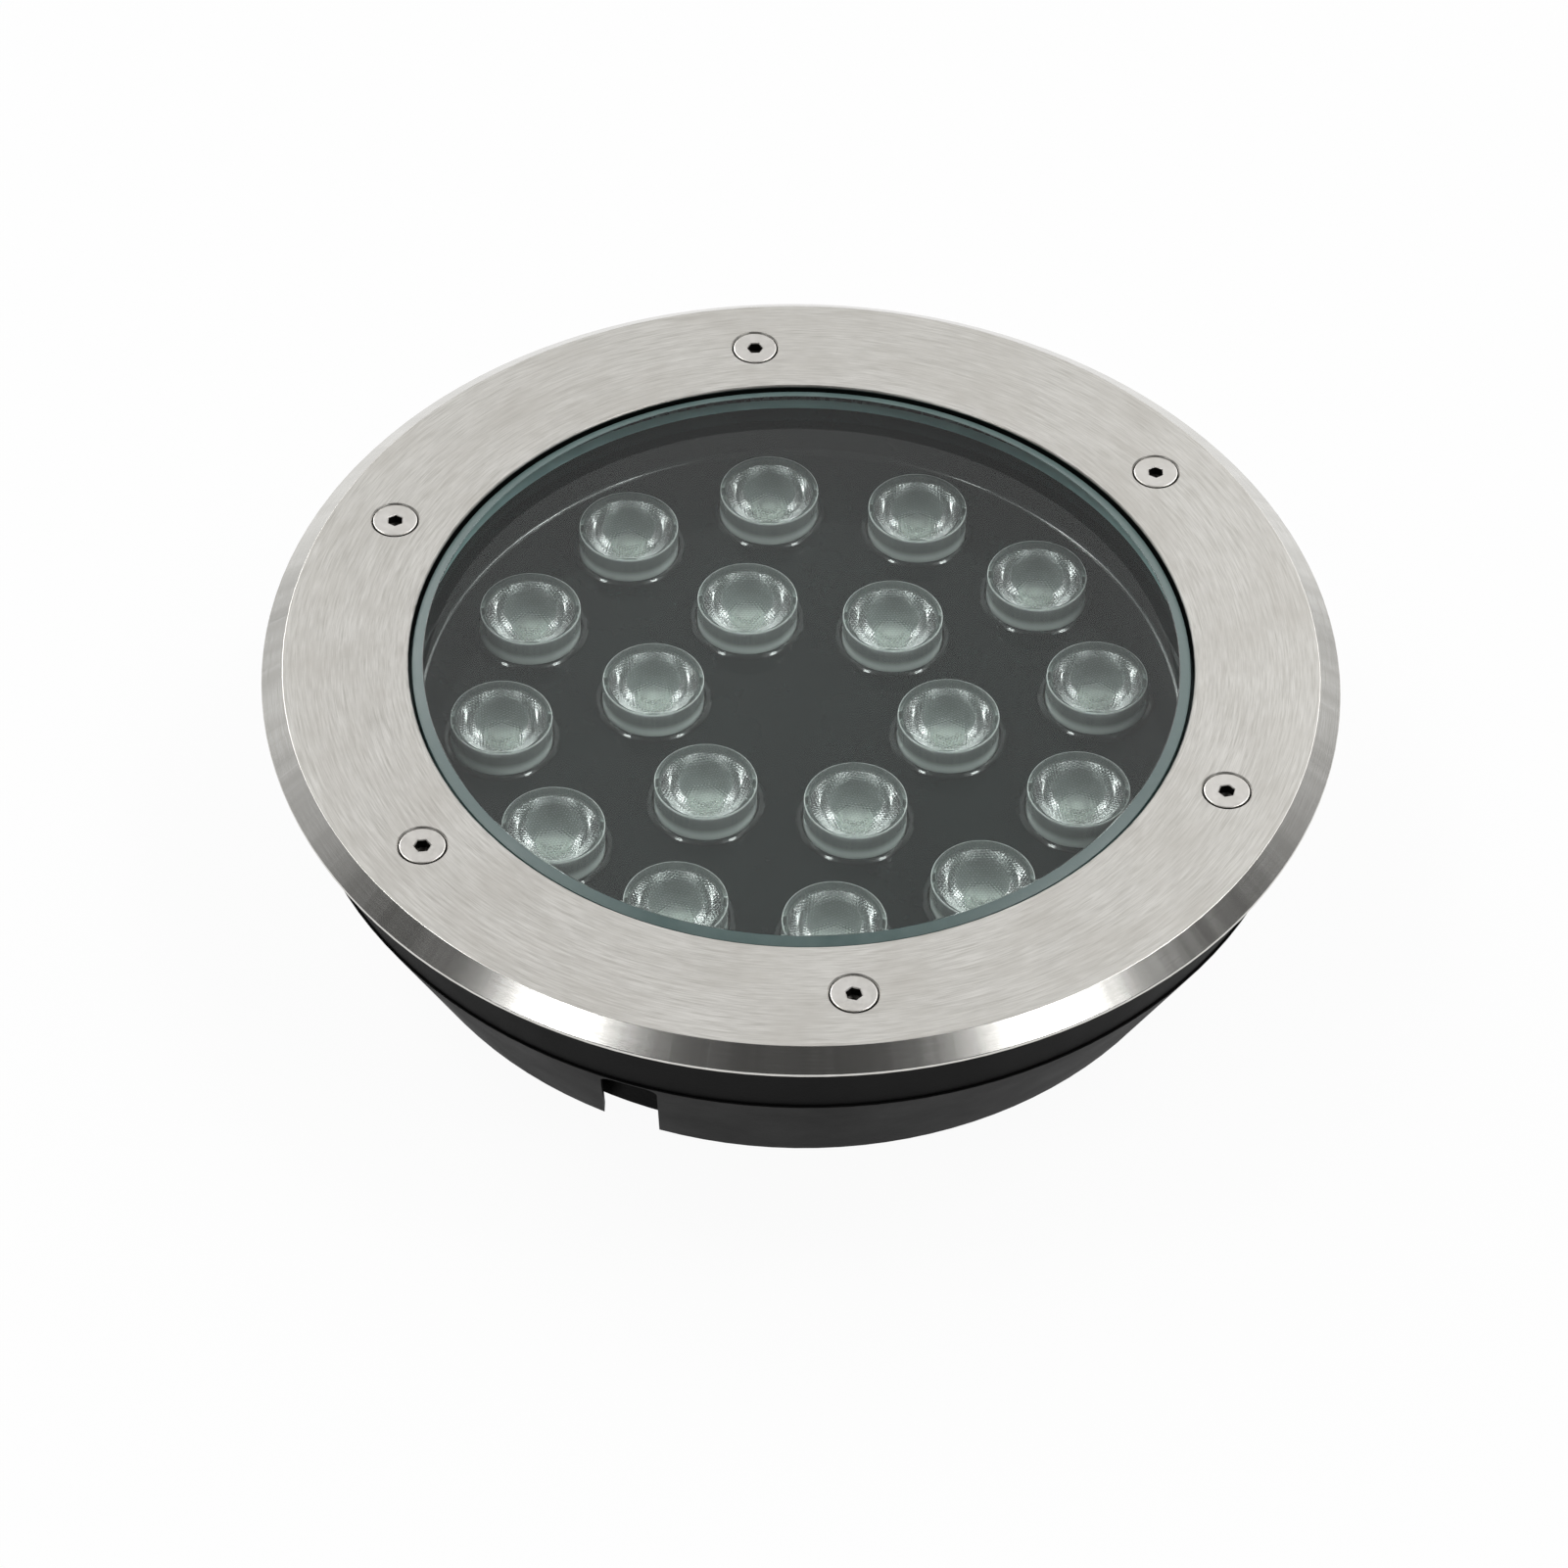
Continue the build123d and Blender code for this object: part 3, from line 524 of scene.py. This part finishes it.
def ground_glass(name, dark, light):
    """The glass's ground bevel, its edge and the border that sits on the gasket."""
    made, tree = new_material(name)
    point = object_point(tree)
    cloud = noise(tree, point, 140.0, detail=4.0, roughness=0.6)
    grain = noise(tree, point, 2600.0, detail=2.0)
    shader = principled(
        tree,
        Base_Color=tint(tree, spread(tree, cloud, 0.3, 0.7), dark, light),
        Roughness=spread(tree, cloud, 0.3, 0.7, 0.30, 0.45),
        Normal=bump(tree, grain, 0.00005, 0.4),
    )
    finish_surface(tree, shader.outputs[0])
    return made


def lens_plastic():
    """The lens's faceted dish and rim, with painted shade darkening the hollows between facets."""
    made, tree = new_material("clear_lens")
    cloud = noise(tree, object_point(tree), 300.0)
    crown = add_node(tree, "ShaderNodeAttribute", attribute_name="crown").outputs["Fac"]
    # painted shade: the facets' hollows are tinted darker than their crowns
    shader = principled(
        tree,
        Base_Color=tint(tree, crown, LENS_HOLLOW_PAINTED_SHADE, LENS_CROWN_TINT),
        Roughness=spread(tree, cloud, 0.3, 0.7, 0.01, 0.05),
        IOR=LENS_IOR,
        Transmission_Weight=1.0,
    )
    finish_surface(tree, let_lamps_through(tree, shader, LENS_SHADOW_TINT))
    return made


def frosted_inside(name, dull, duller):
    """The lens's hidden bowl and pocket, which mirror the lamps more or less softly."""
    made, tree = new_material(name)
    cloud = noise(tree, object_point(tree), 500.0)
    shader = principled(
        tree,
        Base_Color=BOWL_TINT,
        Roughness=spread(tree, cloud, 0.3, 0.7, dull, duller),
        IOR=LENS_IOR,
        Transmission_Weight=1.0,
    )
    finish_surface(tree, let_lamps_through(tree, shader, LENS_SHADOW_TINT))
    return made


def frosted_skirt():
    """The lens's side as it comes from the mould: milky, with a faint vertical draw, and painted
    light in pale bands at its foot and its top.
    """
    made, tree = new_material("frosted_skirt")
    point = object_point(tree)
    height = height_of(tree, point)
    cloud = noise(tree, vector_node(tree, "MULTIPLY", point, SKIRT_DRAW), 1.0)
    milky = tint(tree, spread(tree, cloud, 0.3, 0.7), *SKIRT_COLOURS)
    # painted light: pale bands at the skirt's foot and its top
    foot_light_share = spread(tree, height, *SKIRT_FOOT_LIGHT_BAND, smooth=True)
    milky = tint(tree, foot_light_share, milky, SKIRT_FOOT_PAINTED_LIGHT)
    top_light_share = spread(tree, height, *SKIRT_TOP_LIGHT_BAND)
    shader = principled(
        tree,
        Base_Color=tint(tree, top_light_share, milky, SKIRT_TOP_PAINTED_LIGHT),
        Roughness=spread(tree, cloud, 0.3, 0.7, 0.18, 0.26),
        IOR=LENS_IOR,
        Transmission_Weight=0.5,
    )
    finish_surface(tree, let_lamps_through(tree, shader, SKIRT_SHADOW_TINT))
    return made


# ---------------------------------------------------------------- mesh helpers

def mesh_object(name, vertices, faces, materials, slots=None, smooth=True):
    mesh = bpy.data.meshes.new(name)
    mesh.from_pydata([tuple(v) for v in vertices], [], faces)
    for material in materials:
        mesh.materials.append(material)
    if slots is not None:
        mesh.polygons.foreach_set("material_index", slots)
    mesh.polygons.foreach_set("use_smooth", [smooth] * len(faces))
    mesh.update()
    made = bpy.data.objects.new(name, mesh)
    bpy.context.scene.collection.objects.link(made)
    return made


def round_corners(outline, rounds, steps=4):
    """A closed (radius, height) outline with some corners turned into arcs.
    rounds gives each corner's radius, or 0; also returns which corner a point came from."""
    points, source = [], []
    count = len(outline)
    for k in range(count):
        corner = Vector(outline[k])
        if not rounds[k]:
            points.append(tuple(corner))
            source.append(k)
            continue
        before = (Vector(outline[k - 1]) - corner).normalized()
        after = (Vector(outline[(k + 1) % count]) - corner).normalized()
        half = math.acos(max(-1.0, min(1.0, before.dot(after)))) / 2
        middle = corner + (before + after).normalized() * rounds[k] / math.sin(half)
        reach = rounds[k] / math.tan(half)
        start = corner + before * reach - middle
        swing = start.angle_signed(corner + after * reach - middle)
        for step in range(steps + 1):
            angle = -swing * step / steps
            turned = Matrix.Rotation(angle, 2) @ start
            points.append(tuple(middle + turned))
            source.append(k)
    return points, source


def circle_points(radius, height, steps):
    """Points round the axis, anticlockwise from the right."""
    angles = [2 * math.pi * step / steps for step in range(steps)]
    return [(radius * math.cos(angle), radius * math.sin(angle), height) for angle in angles]


def lathe(name, outline, materials, slots, steps=256):
    """Turn a closed (radius, height) outline, given upward on the outside, about the axis.
    slots names each side's material; a point at radius 0 is a closed pole."""
    vertices = []
    rows = []
    for radius, height in outline:
        points = circle_points(radius, height, steps) if radius else [(0, 0, height)]
        rows.append(list(range(len(vertices), len(vertices) + len(points))))
        vertices.extend(points)
    faces, kinds = [], []
    sides = len(rows)
    for side in range(sides):
        low, high = rows[side], rows[(side + 1) % sides]
        if len(low) == 1 and len(high) == 1:
            continue
        for step in range(steps):
            after = (step + 1) % steps
            if len(low) == 1:
                faces.append((low[0], high[after], high[step]))
            elif len(high) == 1:
                faces.append((low[step], low[after], high[0]))
            else:
                faces.append((low[step], low[after], high[after], high[step]))
            kinds.append(slots[side])
    return mesh_object(name, vertices, faces, materials, kinds)


def sharpen(piece, degrees):
    """Smooth faces meet in a crease where they turn by more than this."""
    mesh = piece.data
    work = bmesh.new()
    work.from_mesh(mesh)
    for edge in work.edges:
        if len(edge.link_faces) == 2 and edge.calc_face_angle(0) > math.radians(degrees):
            edge.smooth = False
    work.to_mesh(mesh)
    work.free()


# ---------------------------------------------------------------- geometry-node helpers

def node_tree(name, **inputs):
    """An empty geometry tree with a Geometry input and output and the named inputs, each
    Float, Int or Material; a name has _ for a space."""
    tree = bpy.data.node_groups.new(name, "GeometryNodeTree")
    face = tree.interface
    face.new_socket("Geometry", in_out="INPUT", socket_type="NodeSocketGeometry")
    for key, kind in inputs.items():
        face.new_socket(
            key.replace("_", " "), in_out="INPUT", socket_type="NodeSocket" + kind
        )
    face.new_socket("Geometry", in_out="OUTPUT", socket_type="NodeSocketGeometry")
    return tree, tree.nodes.new("NodeGroupInput").outputs, tree.nodes.new("NodeGroupOutput").inputs


def places_on_circle(tree, count, circle, phase):
    """Points evenly round the axis, the first one turned by the phase."""
    spots = add_node(tree, "GeometryNodeMeshCircle", {"Vertices": count, "Radius": circle})
    return add_node(
        tree,
        "GeometryNodeTransform",
        {"Geometry": spots.outputs[0], "Rotation": upright(tree, phase)},
    ).outputs[0]


def realize(tree, geometry):
    return add_node(tree, "GeometryNodeRealizeInstances", {"Geometry": geometry}).outputs[0]


def set_material(tree, geometry, material, selection=True):
    return add_node(
        tree,
        "GeometryNodeSetMaterial",
        {"Geometry": geometry, "Selection": selection, "Material": material},
    ).outputs[0]


def run_tree(piece, tree, values):
    """Run a geometry tree on a piece and keep the result as its plain mesh."""
    modifier = piece.modifiers.new("shape", "NODES")
    modifier.node_group = tree
    for item in tree.interface.items_tree:
        if item.item_type == "SOCKET" and item.in_out == "INPUT" and item.name in values:
            modifier[item.identifier] = values[item.name]
    ready = piece.evaluated_get(bpy.context.evaluated_depsgraph_get())
    mesh = bpy.data.meshes.new_from_object(ready)
    piece.modifiers.remove(modifier)
    piece.data = mesh
    return piece


# ---------------------------------------------------------------- glass

def make_glass(clear, bevel, edge):
    """The stepped glass: clear faces, a ground bevel, and a ground edge and flange."""
    # each corner's radius and height, its rounding, and the materials of that rounding
    # and of the side that leaves it: 0 clear, 1 bevel, 2 edge
    corners = (
        (0, GLASS_BOTTOM, 0, 0, 0),
        (GLASS_BORDER_RADIUS, GLASS_BOTTOM, 0, 0, 2),
        (GLASS_FLANGE_RADIUS, GLASS_BOTTOM, GLASS_FLANGE_ROUND, 2, 2),
        (GLASS_FLANGE_RADIUS, GLASS_FLANGE_TOP, GLASS_FLANGE_ROUND, 2, 2),
        (GLASS_RADIUS, GLASS_FLANGE_TOP, 0, 0, 2),
        (GLASS_RADIUS, GLASS_TOP - GLASS_BEVEL_DROP, GLASS_EDGE_ROUND, 1, 1),
        (GLASS_RADIUS - GLASS_BEVEL_WIDTH, GLASS_TOP, GLASS_TOP_ROUND, 0, 0),
        (0, GLASS_TOP, 0, 0, 0),
    )
    points, source = round_corners([row[:2] for row in corners], [row[2] for row in corners])
    kinds = []
    for k, corner in enumerate(source):
        last = k + 1 == len(source) or source[k + 1] != corner
        kinds.append(corners[corner][4 if last else 3])
    piece = lathe("glass_disc", points, [clear, bevel, edge], kinds)
    sharpen(piece, 12.0)
    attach(piece, "luminaire")
    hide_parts("glass")


# ---------------------------------------------------------------- face screws

def hexagon_points(flats, height, steps):
    """Points round a hexagon that is this wide across its flats."""
    points = []
    for k in range(steps):
        angle = 2 * math.pi * k / steps
        from_flat = (angle + math.pi / 6) % (math.pi / 3) - math.pi / 6
        reach = flats / 2 / math.cos(from_flat)
        points.append((reach * math.cos(angle), reach * math.sin(angle), height))
    return points


def one_screw():
    """A countersunk socket screw on the vertical axis, with its hexagon at the middle.
    Material 0 is the head's steel and 1 is painted shade: dark steel in the socket, on the head's
    side, under the head and on the shank."""
    steel, shade = 0, 1
    around = SCREW_SIDES
    lip = SCREW_ROUNDING
    drill_tip = SCREW_TOP - SOCKET_DEPTH * 1.12
    # from the bottom up, over the head and down into the socket
    # the levels marked shade are painted shade: dark steel for the shank, the cone, the head's side
    # and the socket
    levels = (
        (circle_points(SCREW_SHANK_RADIUS, SCREW_BOTTOM, around), shade),
        (circle_points(SCREW_SHANK_RADIUS, SCREW_CONE_BOTTOM, around), shade),
        (circle_points(SCREW_HEAD_RADIUS, SCREW_HEAD_EDGE, around), shade),
        (circle_points(SCREW_HEAD_RADIUS, SCREW_TOP - lip, around), steel),
        (circle_points(SCREW_HEAD_RADIUS - 0.3 * lip, SCREW_TOP - 0.3 * lip, around), steel),
        (circle_points(SCREW_HEAD_RADIUS - lip, SCREW_TOP, around), steel),
        (hexagon_points(SOCKET_FLATS + 2 * lip, SCREW_TOP, around), steel),
        (hexagon_points(SOCKET_FLATS, SCREW_TOP - lip, around), shade),
        (hexagon_points(SOCKET_FLATS, SCREW_TOP - SOCKET_DEPTH, around), shade),
        (circle_points(SOCKET_FLATS * 0.3, drill_tip, around), shade),
    )
    vertices, rows, faces, kinds = [], [], [], []
    for points, _ in levels:
        rows.append(list(range(len(vertices), len(vertices) + around)))
        vertices.extend(points)
    for side in range(len(levels) - 1):
        low, high = rows[side], rows[side + 1]
        for k in range(around):
            after = (k + 1) % around
            faces.append((low[k], low[after], high[after], high[k]))
            kinds.append(levels[side][1])
    faces += [tuple(reversed(rows[0])), tuple(rows[-1])]
    kinds += [shade, shade]
    return vertices, faces, kinds


def screw_tree():
    """Sets one screw on a circle of places, each turned by chance about its own axis."""
    tree, given, result = node_tree(
        "screws_on_a_circle",
        Circle="Float", Count="Int", Phase="Float", Seed="Int",
        Steel="Material", Recess="Material",
    )
    chance = add_node(tree, "FunctionNodeRandomValue", {"Seed": given["Seed"]}, data_type="FLOAT")
    chance.inputs[3].default_value = math.pi
    placed = add_node(
        tree,
        "GeometryNodeInstanceOnPoints",
        {
            "Points": places_on_circle(tree, given["Count"], given["Circle"], given["Phase"]),
            "Instance": given["Geometry"],
            "Rotation": upright(tree, chance.outputs[1]),
        },
    )
    slot_number = add_node(tree, "GeometryNodeInputMaterialIndex").outputs[0]
    is_steel = math_node(tree, "LESS_THAN", slot_number, 0.5)
    is_painted_shade = math_node(tree, "GREATER_THAN", slot_number, 0.5)
    whole = realize(tree, placed.outputs[0])
    whole = set_material(tree, whole, given["Steel"], is_steel)
    whole = set_material(tree, whole, given["Recess"], is_painted_shade)
    tree.links.new(whole, result["Geometry"])
    return tree


def make_screws(steel, shade_finish):
    vertices, faces, kinds = one_screw()
    piece = mesh_object("face_screw_set", vertices, faces, [steel, shade_finish], kinds)
    values = {
        "Circle": SCREW_CIRCLE,
        "Count": SCREW_COUNT,
        "Phase": math.radians(SCREW_PHASE),
        "Seed": SCREW_SEED,
        "Steel": steel,
        "Recess": shade_finish,
    }
    run_tree(piece, screw_tree(), values)
    sharpen(piece, 14.0)
    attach(piece, "cover")
    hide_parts("face_screws")


# ---------------------------------------------------------------- tray

def lip_tree():
    """Sets one ring on two circles of places."""
    tree, given, result = node_tree(
        "rings_round_the_lenses",
        Outer_Circle="Float", Outer_Count="Int", Outer_Phase="Float",
        Inner_Circle="Float", Inner_Count="Int", Inner_Phase="Float",
        Finish="Material",
    )
    joined = tree.nodes.new("GeometryNodeJoinGeometry")
    for side in ("Outer", "Inner"):
        sizes = (given[f"{side} {size}"] for size in ("Count", "Circle", "Phase"))
        tree.links.new(places_on_circle(tree, *sizes), joined.inputs[0])
    placed = add_node(
        tree,
        "GeometryNodeInstanceOnPoints",
        {"Points": joined.outputs[0], "Instance": given["Geometry"]},
    )
    whole = set_material(tree, realize(tree, placed.outputs[0]), given["Finish"])
    tree.links.new(whole, result["Geometry"])
    return tree


def make_tray_lips(polished):
    """The polished slope round each of the tray's holes, on top of its plain lip."""
    outline = [
        (LIP_INNER_RADIUS, TRAY_TOP),
        (LIP_OUTER_RADIUS, TRAY_TOP),
        (LIP_OUTER_RADIUS, TRAY_TOP + LIP_EDGE),
        (LIP_OUTER_RADIUS - LIP_SLOPE, TRAY_TOP + LIP_HEIGHT),
        (LIP_INNER_RADIUS, TRAY_TOP + LIP_HEIGHT),
    ]
    piece = lathe("tray_lips", outline, [polished], [0] * len(outline), steps=LIP_SIDES)
    values = {
        "Outer Circle": OUTER_LENS_CIRCLE,
        "Outer Count": OUTER_LENS_COUNT,
        "Outer Phase": math.radians(SCREW_PHASE),
        "Inner Circle": INNER_LENS_CIRCLE,
        "Inner Count": INNER_LENS_COUNT,
        "Inner Phase": math.radians(SCREW_PHASE + INNER_LENS_TURN),
        "Finish": polished,
    }
    run_tree(piece, lip_tree(), values)
    sharpen(piece, 20.0)
    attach(piece, "luminaire")


def make_tray_fillet(polished):
    """The polished hollow where the tray's floor meets its wall."""
    middle_radius = TRAY_WALL_RADIUS - TRAY_FILLET
    middle_height = TRAY_TOP + TRAY_FILLET
    outline = [(TRAY_WALL_RADIUS, TRAY_TOP)]
    for step in range(TRAY_FILLET_STEPS + 1):
        angle = -math.pi / 2 * step / TRAY_FILLET_STEPS
        radius = middle_radius + TRAY_FILLET * math.cos(angle)
        height = middle_height + TRAY_FILLET * math.sin(angle)
        outline.append((radius, height))
    piece = lathe("tray_fillet", outline, [polished], [0] * len(outline))
    sharpen(piece, 20.0)
    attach(piece, "luminaire")


# ---------------------------------------------------------------- lenses

def facet_tree():
    """Presses a honeycomb of small pillows into an upward surface, fading at its rim, and
    keeps how near each point is to a pillow's crown as the attribute crown."""
    tree, given, result = node_tree(
        "lens_facets", Pitch="Float", Depth="Float", Rim="Float", Finish="Material"
    )
    point = add_node(tree, "GeometryNodeInputPosition").outputs[0]
    wave = math_node(tree, "DIVIDE", 4 * math.pi / math.sqrt(3), given["Pitch"])
    ripples = 0.0
    for turn in (0, 60, 120):
        angle = math.radians(turn)
        along = vector_node(tree, "DOT_PRODUCT", point, (math.cos(angle), math.sin(angle), 0))
        ripple = math_node(tree, "COSINE", math_node(tree, "MULTIPLY", along, wave))
        ripples = math_node(tree, "ADD", ripple, ripples)
    radius = vector_node(tree, "LENGTH", vector_node(tree, "MULTIPLY", point, (1, 1, 0)))
    fade = spread(tree, math_node(tree, "DIVIDE", radius, given["Rim"]), 1.0, 0.96)
    height = math_node(tree, "MULTIPLY", ripples, given["Depth"])
    height = math_node(tree, "MULTIPLY", height, fade)
    # the crown attribute drives the lens material's painted shade in the hollows
    marked = add_node(
        tree,
        "GeometryNodeStoreNamedAttribute",
        {"Geometry": given["Geometry"], "Name": "crown", "Value": spread(tree, ripples, -1.5, 1.2)},
        data_type="FLOAT",
        domain="POINT",
    )
    moved = add_node(
        tree,
        "GeometryNodeSetPosition",
        {
            "Geometry": marked.outputs[0],
            "Offset": upright(tree, math_node(tree, "DIVIDE", height, 3.0)),
        },
    )
    whole = set_material(tree, realize(tree, moved.outputs[0]), given["Finish"])
    tree.links.new(whole, result["Geometry"])
    return tree


def lens_dish():
    """The lens's plain dish: a square net drawn out to a disc, so no point is a pole."""
    ticks = np.linspace(-1, 1, LENS_DISH_CELLS + 1)
    u, v = np.meshgrid(ticks, ticks)
    x = u * np.sqrt(1 - v**2 / 2) * LENS_DISH_RADIUS
    y = v * np.sqrt(1 - u**2 / 2) * LENS_DISH_RADIUS
    curve = (LENS_DISH_RADIUS**2 + LENS_DISH_DEPTH**2) / (2 * LENS_DISH_DEPTH)
    floor = LENS_DISH_TOP - LENS_DISH_DEPTH
    z = floor + curve - np.sqrt(curve**2 - x**2 - y**2)
    vertices = np.stack([x, y, z], -1).reshape(-1, 3)
    side = LENS_DISH_CELLS + 1
    faces = []
    for row in range(LENS_DISH_CELLS):
        for column in range(LENS_DISH_CELLS):
            corner = row * side + column
            faces.append((corner, corner + 1, corner + 1 + side, corner + side))
    return mesh_object("lens_dish", vertices, faces, [])


def dish_rim():
    """The numbers of the dish's rim vertices, in order round the lens."""
    side = LENS_DISH_CELLS + 1
    last = LENS_DISH_CELLS
    bottom = [k for k in range(last)]
    right = [last + side * k for k in range(last)]
    top = [last + side * last - k for k in range(last)]
    left = [side * last - side * k for k in range(last)]
    return bottom + right + top + left


def lens_mesh(finish):
    """One lens on the vertical axis: dish, flat rim, skirt, groove, bowl and pocket."""
    values = {
        "Pitch": FACET_PITCH,
        "Depth": FACET_DEPTH,
        "Rim": LENS_DISH_RADIUS,
        "Finish": finish,
    }
    dish = run_tree(lens_dish(), facet_tree(), values)
    vertices = [tuple(v.co) for v in dish.data.vertices]
    faces = [tuple(p.vertices) for p in dish.data.polygons]
    crowns = [item.value for item in dish.data.attributes["crown"].data]
    bpy.data.objects.remove(dish)
    kinds = [CLEAR] * len(faces)
    rim = dish_rim()
    count = len(rim)
    lip = LENS_EDGE_ROUND
    pocket_top = LENS_BOTTOM + LENS_POCKET_DEPTH
    # from the rim outwards and down, in radius, height and material
    outline = [
        (LENS_RIM_RADIUS - LENS_RIM_HALF_WIDTH, LENS_TOP - LENS_RIM_DROP, CLEAR),
        (LENS_RIM_RADIUS + LENS_RIM_HALF_WIDTH, LENS_TOP, CLEAR),
        (LENS_RADIUS - lip, LENS_TOP, CLEAR),
        (LENS_RADIUS - 0.3 * lip, LENS_TOP - 0.3 * lip, SKIRT),
        (LENS_RADIUS, LENS_TOP - lip, SKIRT),
        (LENS_RADIUS, LENS_SHOULDER, SKIRT),
        (LENS_SKIRT_RADIUS, LENS_SHOULDER, SKIRT),
        (LENS_SKIRT_RADIUS, LENS_GROOVE_TOP, SKIRT),
        *((radius, height, BOWL) for radius, height in LENS_BOWL),
        (LENS_POCKET_RADIUS, LENS_BOTTOM, POCKET),
        (LENS_POCKET_RADIUS, pocket_top, POCKET),
    ]
    directions = [Vector(vertices[k][:2]).normalized() for k in rim]
    ring_before = rim
    for radius, height, kind in outline:
        ring_after = list(range(len(vertices), len(vertices) + count))
        vertices.extend((d.x * radius, d.y * radius, height) for d in directions)
        for k in range(count):
            after = (k + 1) % count
            faces.append((ring_before[k], ring_after[k], ring_after[after], ring_before[after]))
            kinds.append(kind)
        ring_before = ring_after
    pole = len(vertices)
    vertices.append((0, 0, pocket_top))
    for k in range(count):
        faces.append((ring_before[k], pole, ring_before[(k + 1) % count]))
        kinds.append(POCKET)
    crowns += [1.0] * (len(vertices) - len(crowns))
    return vertices, faces, kinds, crowns


def make_lenses(*materials):
    """Eighteen lenses, each with its facets turned its own way."""
    vertices, faces, kinds, crowns = lens_mesh(materials[CLEAR])
    layout = (
        ("outer", OUTER_LENS_CIRCLE, OUTER_LENS_COUNT, SCREW_PHASE),
        ("inner", INNER_LENS_CIRCLE, INNER_LENS_COUNT, SCREW_PHASE + INNER_LENS_TURN),
    )
    shape = np.array(vertices)
    for ring_name, circle, count, phase in layout:
        for number in range(1, count + 1):
            angle = math.radians(phase + 360 / count * (number - 1))
            turn = math.radians(FACET_TURN * number + phase)
            spun = shape.copy()
            spun[:, 0] = shape[:, 0] * math.cos(turn) - shape[:, 1] * math.sin(turn)
            spun[:, 1] = shape[:, 0] * math.sin(turn) + shape[:, 1] * math.cos(turn)
            spun[:, 0] += circle * math.cos(angle)
            spun[:, 1] += circle * math.sin(angle)
            piece = mesh_object(f"{ring_name}_optic_{number:02d}", spun, faces, materials, kinds)
            marks = piece.data.attributes.new("crown", "FLOAT", "POINT")
            marks.data.foreach_set("value", crowns)
            sharpen(piece, 25.0)
            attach(piece, "luminaire")
            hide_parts(f"{ring_name}_lens_{number:02d}")


# ---------------------------------------------------------------- studio

def aim(azimuth, elevation):
    """The direction towards a soft box; azimuth 0 is the viewer's side."""
    a, e = math.radians(azimuth), math.radians(elevation)
    return (math.sin(a) * math.cos(e), -math.cos(a) * math.cos(e), math.sin(e))


def set_world():
    """Soft boxes round a dim studio, which metal and glass mirror; the camera itself sees
    a white backdrop."""
    world = bpy.data.worlds.new("studio_world")
    bpy.context.scene.world = world
    world.use_nodes = True
    tree = world.node_tree
    tree.nodes.clear()
    direction = add_node(tree, "ShaderNodeTexCoord").outputs["Generated"]
    total = STUDIO_LEVEL
    for azimuth, elevation, radius, softness, radiance in SOFT_BOXES:
        facing = vector_node(tree, "DOT_PRODUCT", direction, aim(azimuth, elevation))
        outer = math.cos(math.radians(radius + softness))
        inner = math.cos(math.radians(radius - softness))
        glow = spread(tree, facing, outer, inner, 0.0, radiance, smooth=True)
        total = math_node(tree, "ADD", glow, total)
    seen = add_node(tree, "ShaderNodeLightPath").outputs["Is Camera Ray"]
    lit = add_node(tree, "ShaderNodeBackground", {"Color": (1, 1, 1, 1), "Strength": total})
    white = add_node(tree, "ShaderNodeBackground", {"Color": (1, 1, 1, 1), "Strength": 1.0})
    mixed = add_node(
        tree, "ShaderNodeMixShader", {0: seen, 1: lit.outputs[0], 2: white.outputs[0]}
    )
    add_node(tree, "ShaderNodeOutputWorld", {"Surface": mixed.outputs[0]})


def make_floor():
    """A pale floor that looks white to the camera and in gloss, and keeps its shadow."""
    made, tree = new_material("pale_floor")
    grey = (FLOOR_MATT, FLOOR_MATT, FLOOR_MATT, 1)
    matt = add_node(tree, "ShaderNodeBsdfDiffuse", {"Color": grey})
    white = add_node(tree, "ShaderNodeEmission", {"Color": (1, 1, 1, 1), "Strength": 1.0})
    path = add_node(tree, "ShaderNodeLightPath").outputs
    seen = math_node(tree, "MAXIMUM", path["Is Camera Ray"], path["Is Glossy Ray"])
    seen = math_node(tree, "MAXIMUM", seen, path["Is Transmission Ray"])
    share = math_node(tree, "MULTIPLY", seen, FLOOR_WHITE)
    mixed = add_node(
        tree, "ShaderNodeMixShader", {0: share, 1: matt.outputs[0], 2: white.outputs[0]}
    )
    finish_surface(tree, mixed.outputs[0])
    half = FLOOR_HALF_WIDTH
    corners = [(-half, -half, 0), (half, -half, 0), (half, half, 0), (-half, half, 0)]
    floor = mesh_object("studio_floor", corners, [(0, 1, 2, 3)], [made], smooth=False)


# ---------------------------------------------------------------- build

set_camera()
bpy.context.scene.view_settings.view_transform = "Standard"

finishes = {
    "brushed_stainless": brushed_steel(),
    "tempered_glass": polished_glass(),
    "clear_lens": lens_plastic(),
    "frosted_skirt": frosted_skirt(),
}
for make, table in (
    (plain_metal, METALS),
    (moulded, MOULDINGS),
    (ground_glass, GROUND_GLASSES),
    (frosted_inside, FROSTINGS),
):
    for name, values in table.items():
        finishes[name] = make(name, *values)

slot_of = {entry["node"]: entry["material_slot"] for entry in frame["record"]["subparts"]}
for name, node in frame["nodes"].items():
    for slot in node.material_slots:
        slot.material = finishes[slot_of[name]]

make_glass(finishes["tempered_glass"], finishes["ground_bevel"], finishes["ground_edge"])
make_screws(finishes["screw_steel"], finishes["screw_recess"])
make_tray_lips(finishes["tray_polish"])
make_tray_fillet(finishes["tray_polish"])
make_lenses(
    finishes["clear_lens"],
    finishes["frosted_skirt"],
    finishes["lens_bowl"],
    finishes["lens_pocket"],
)

set_world()
make_floor()
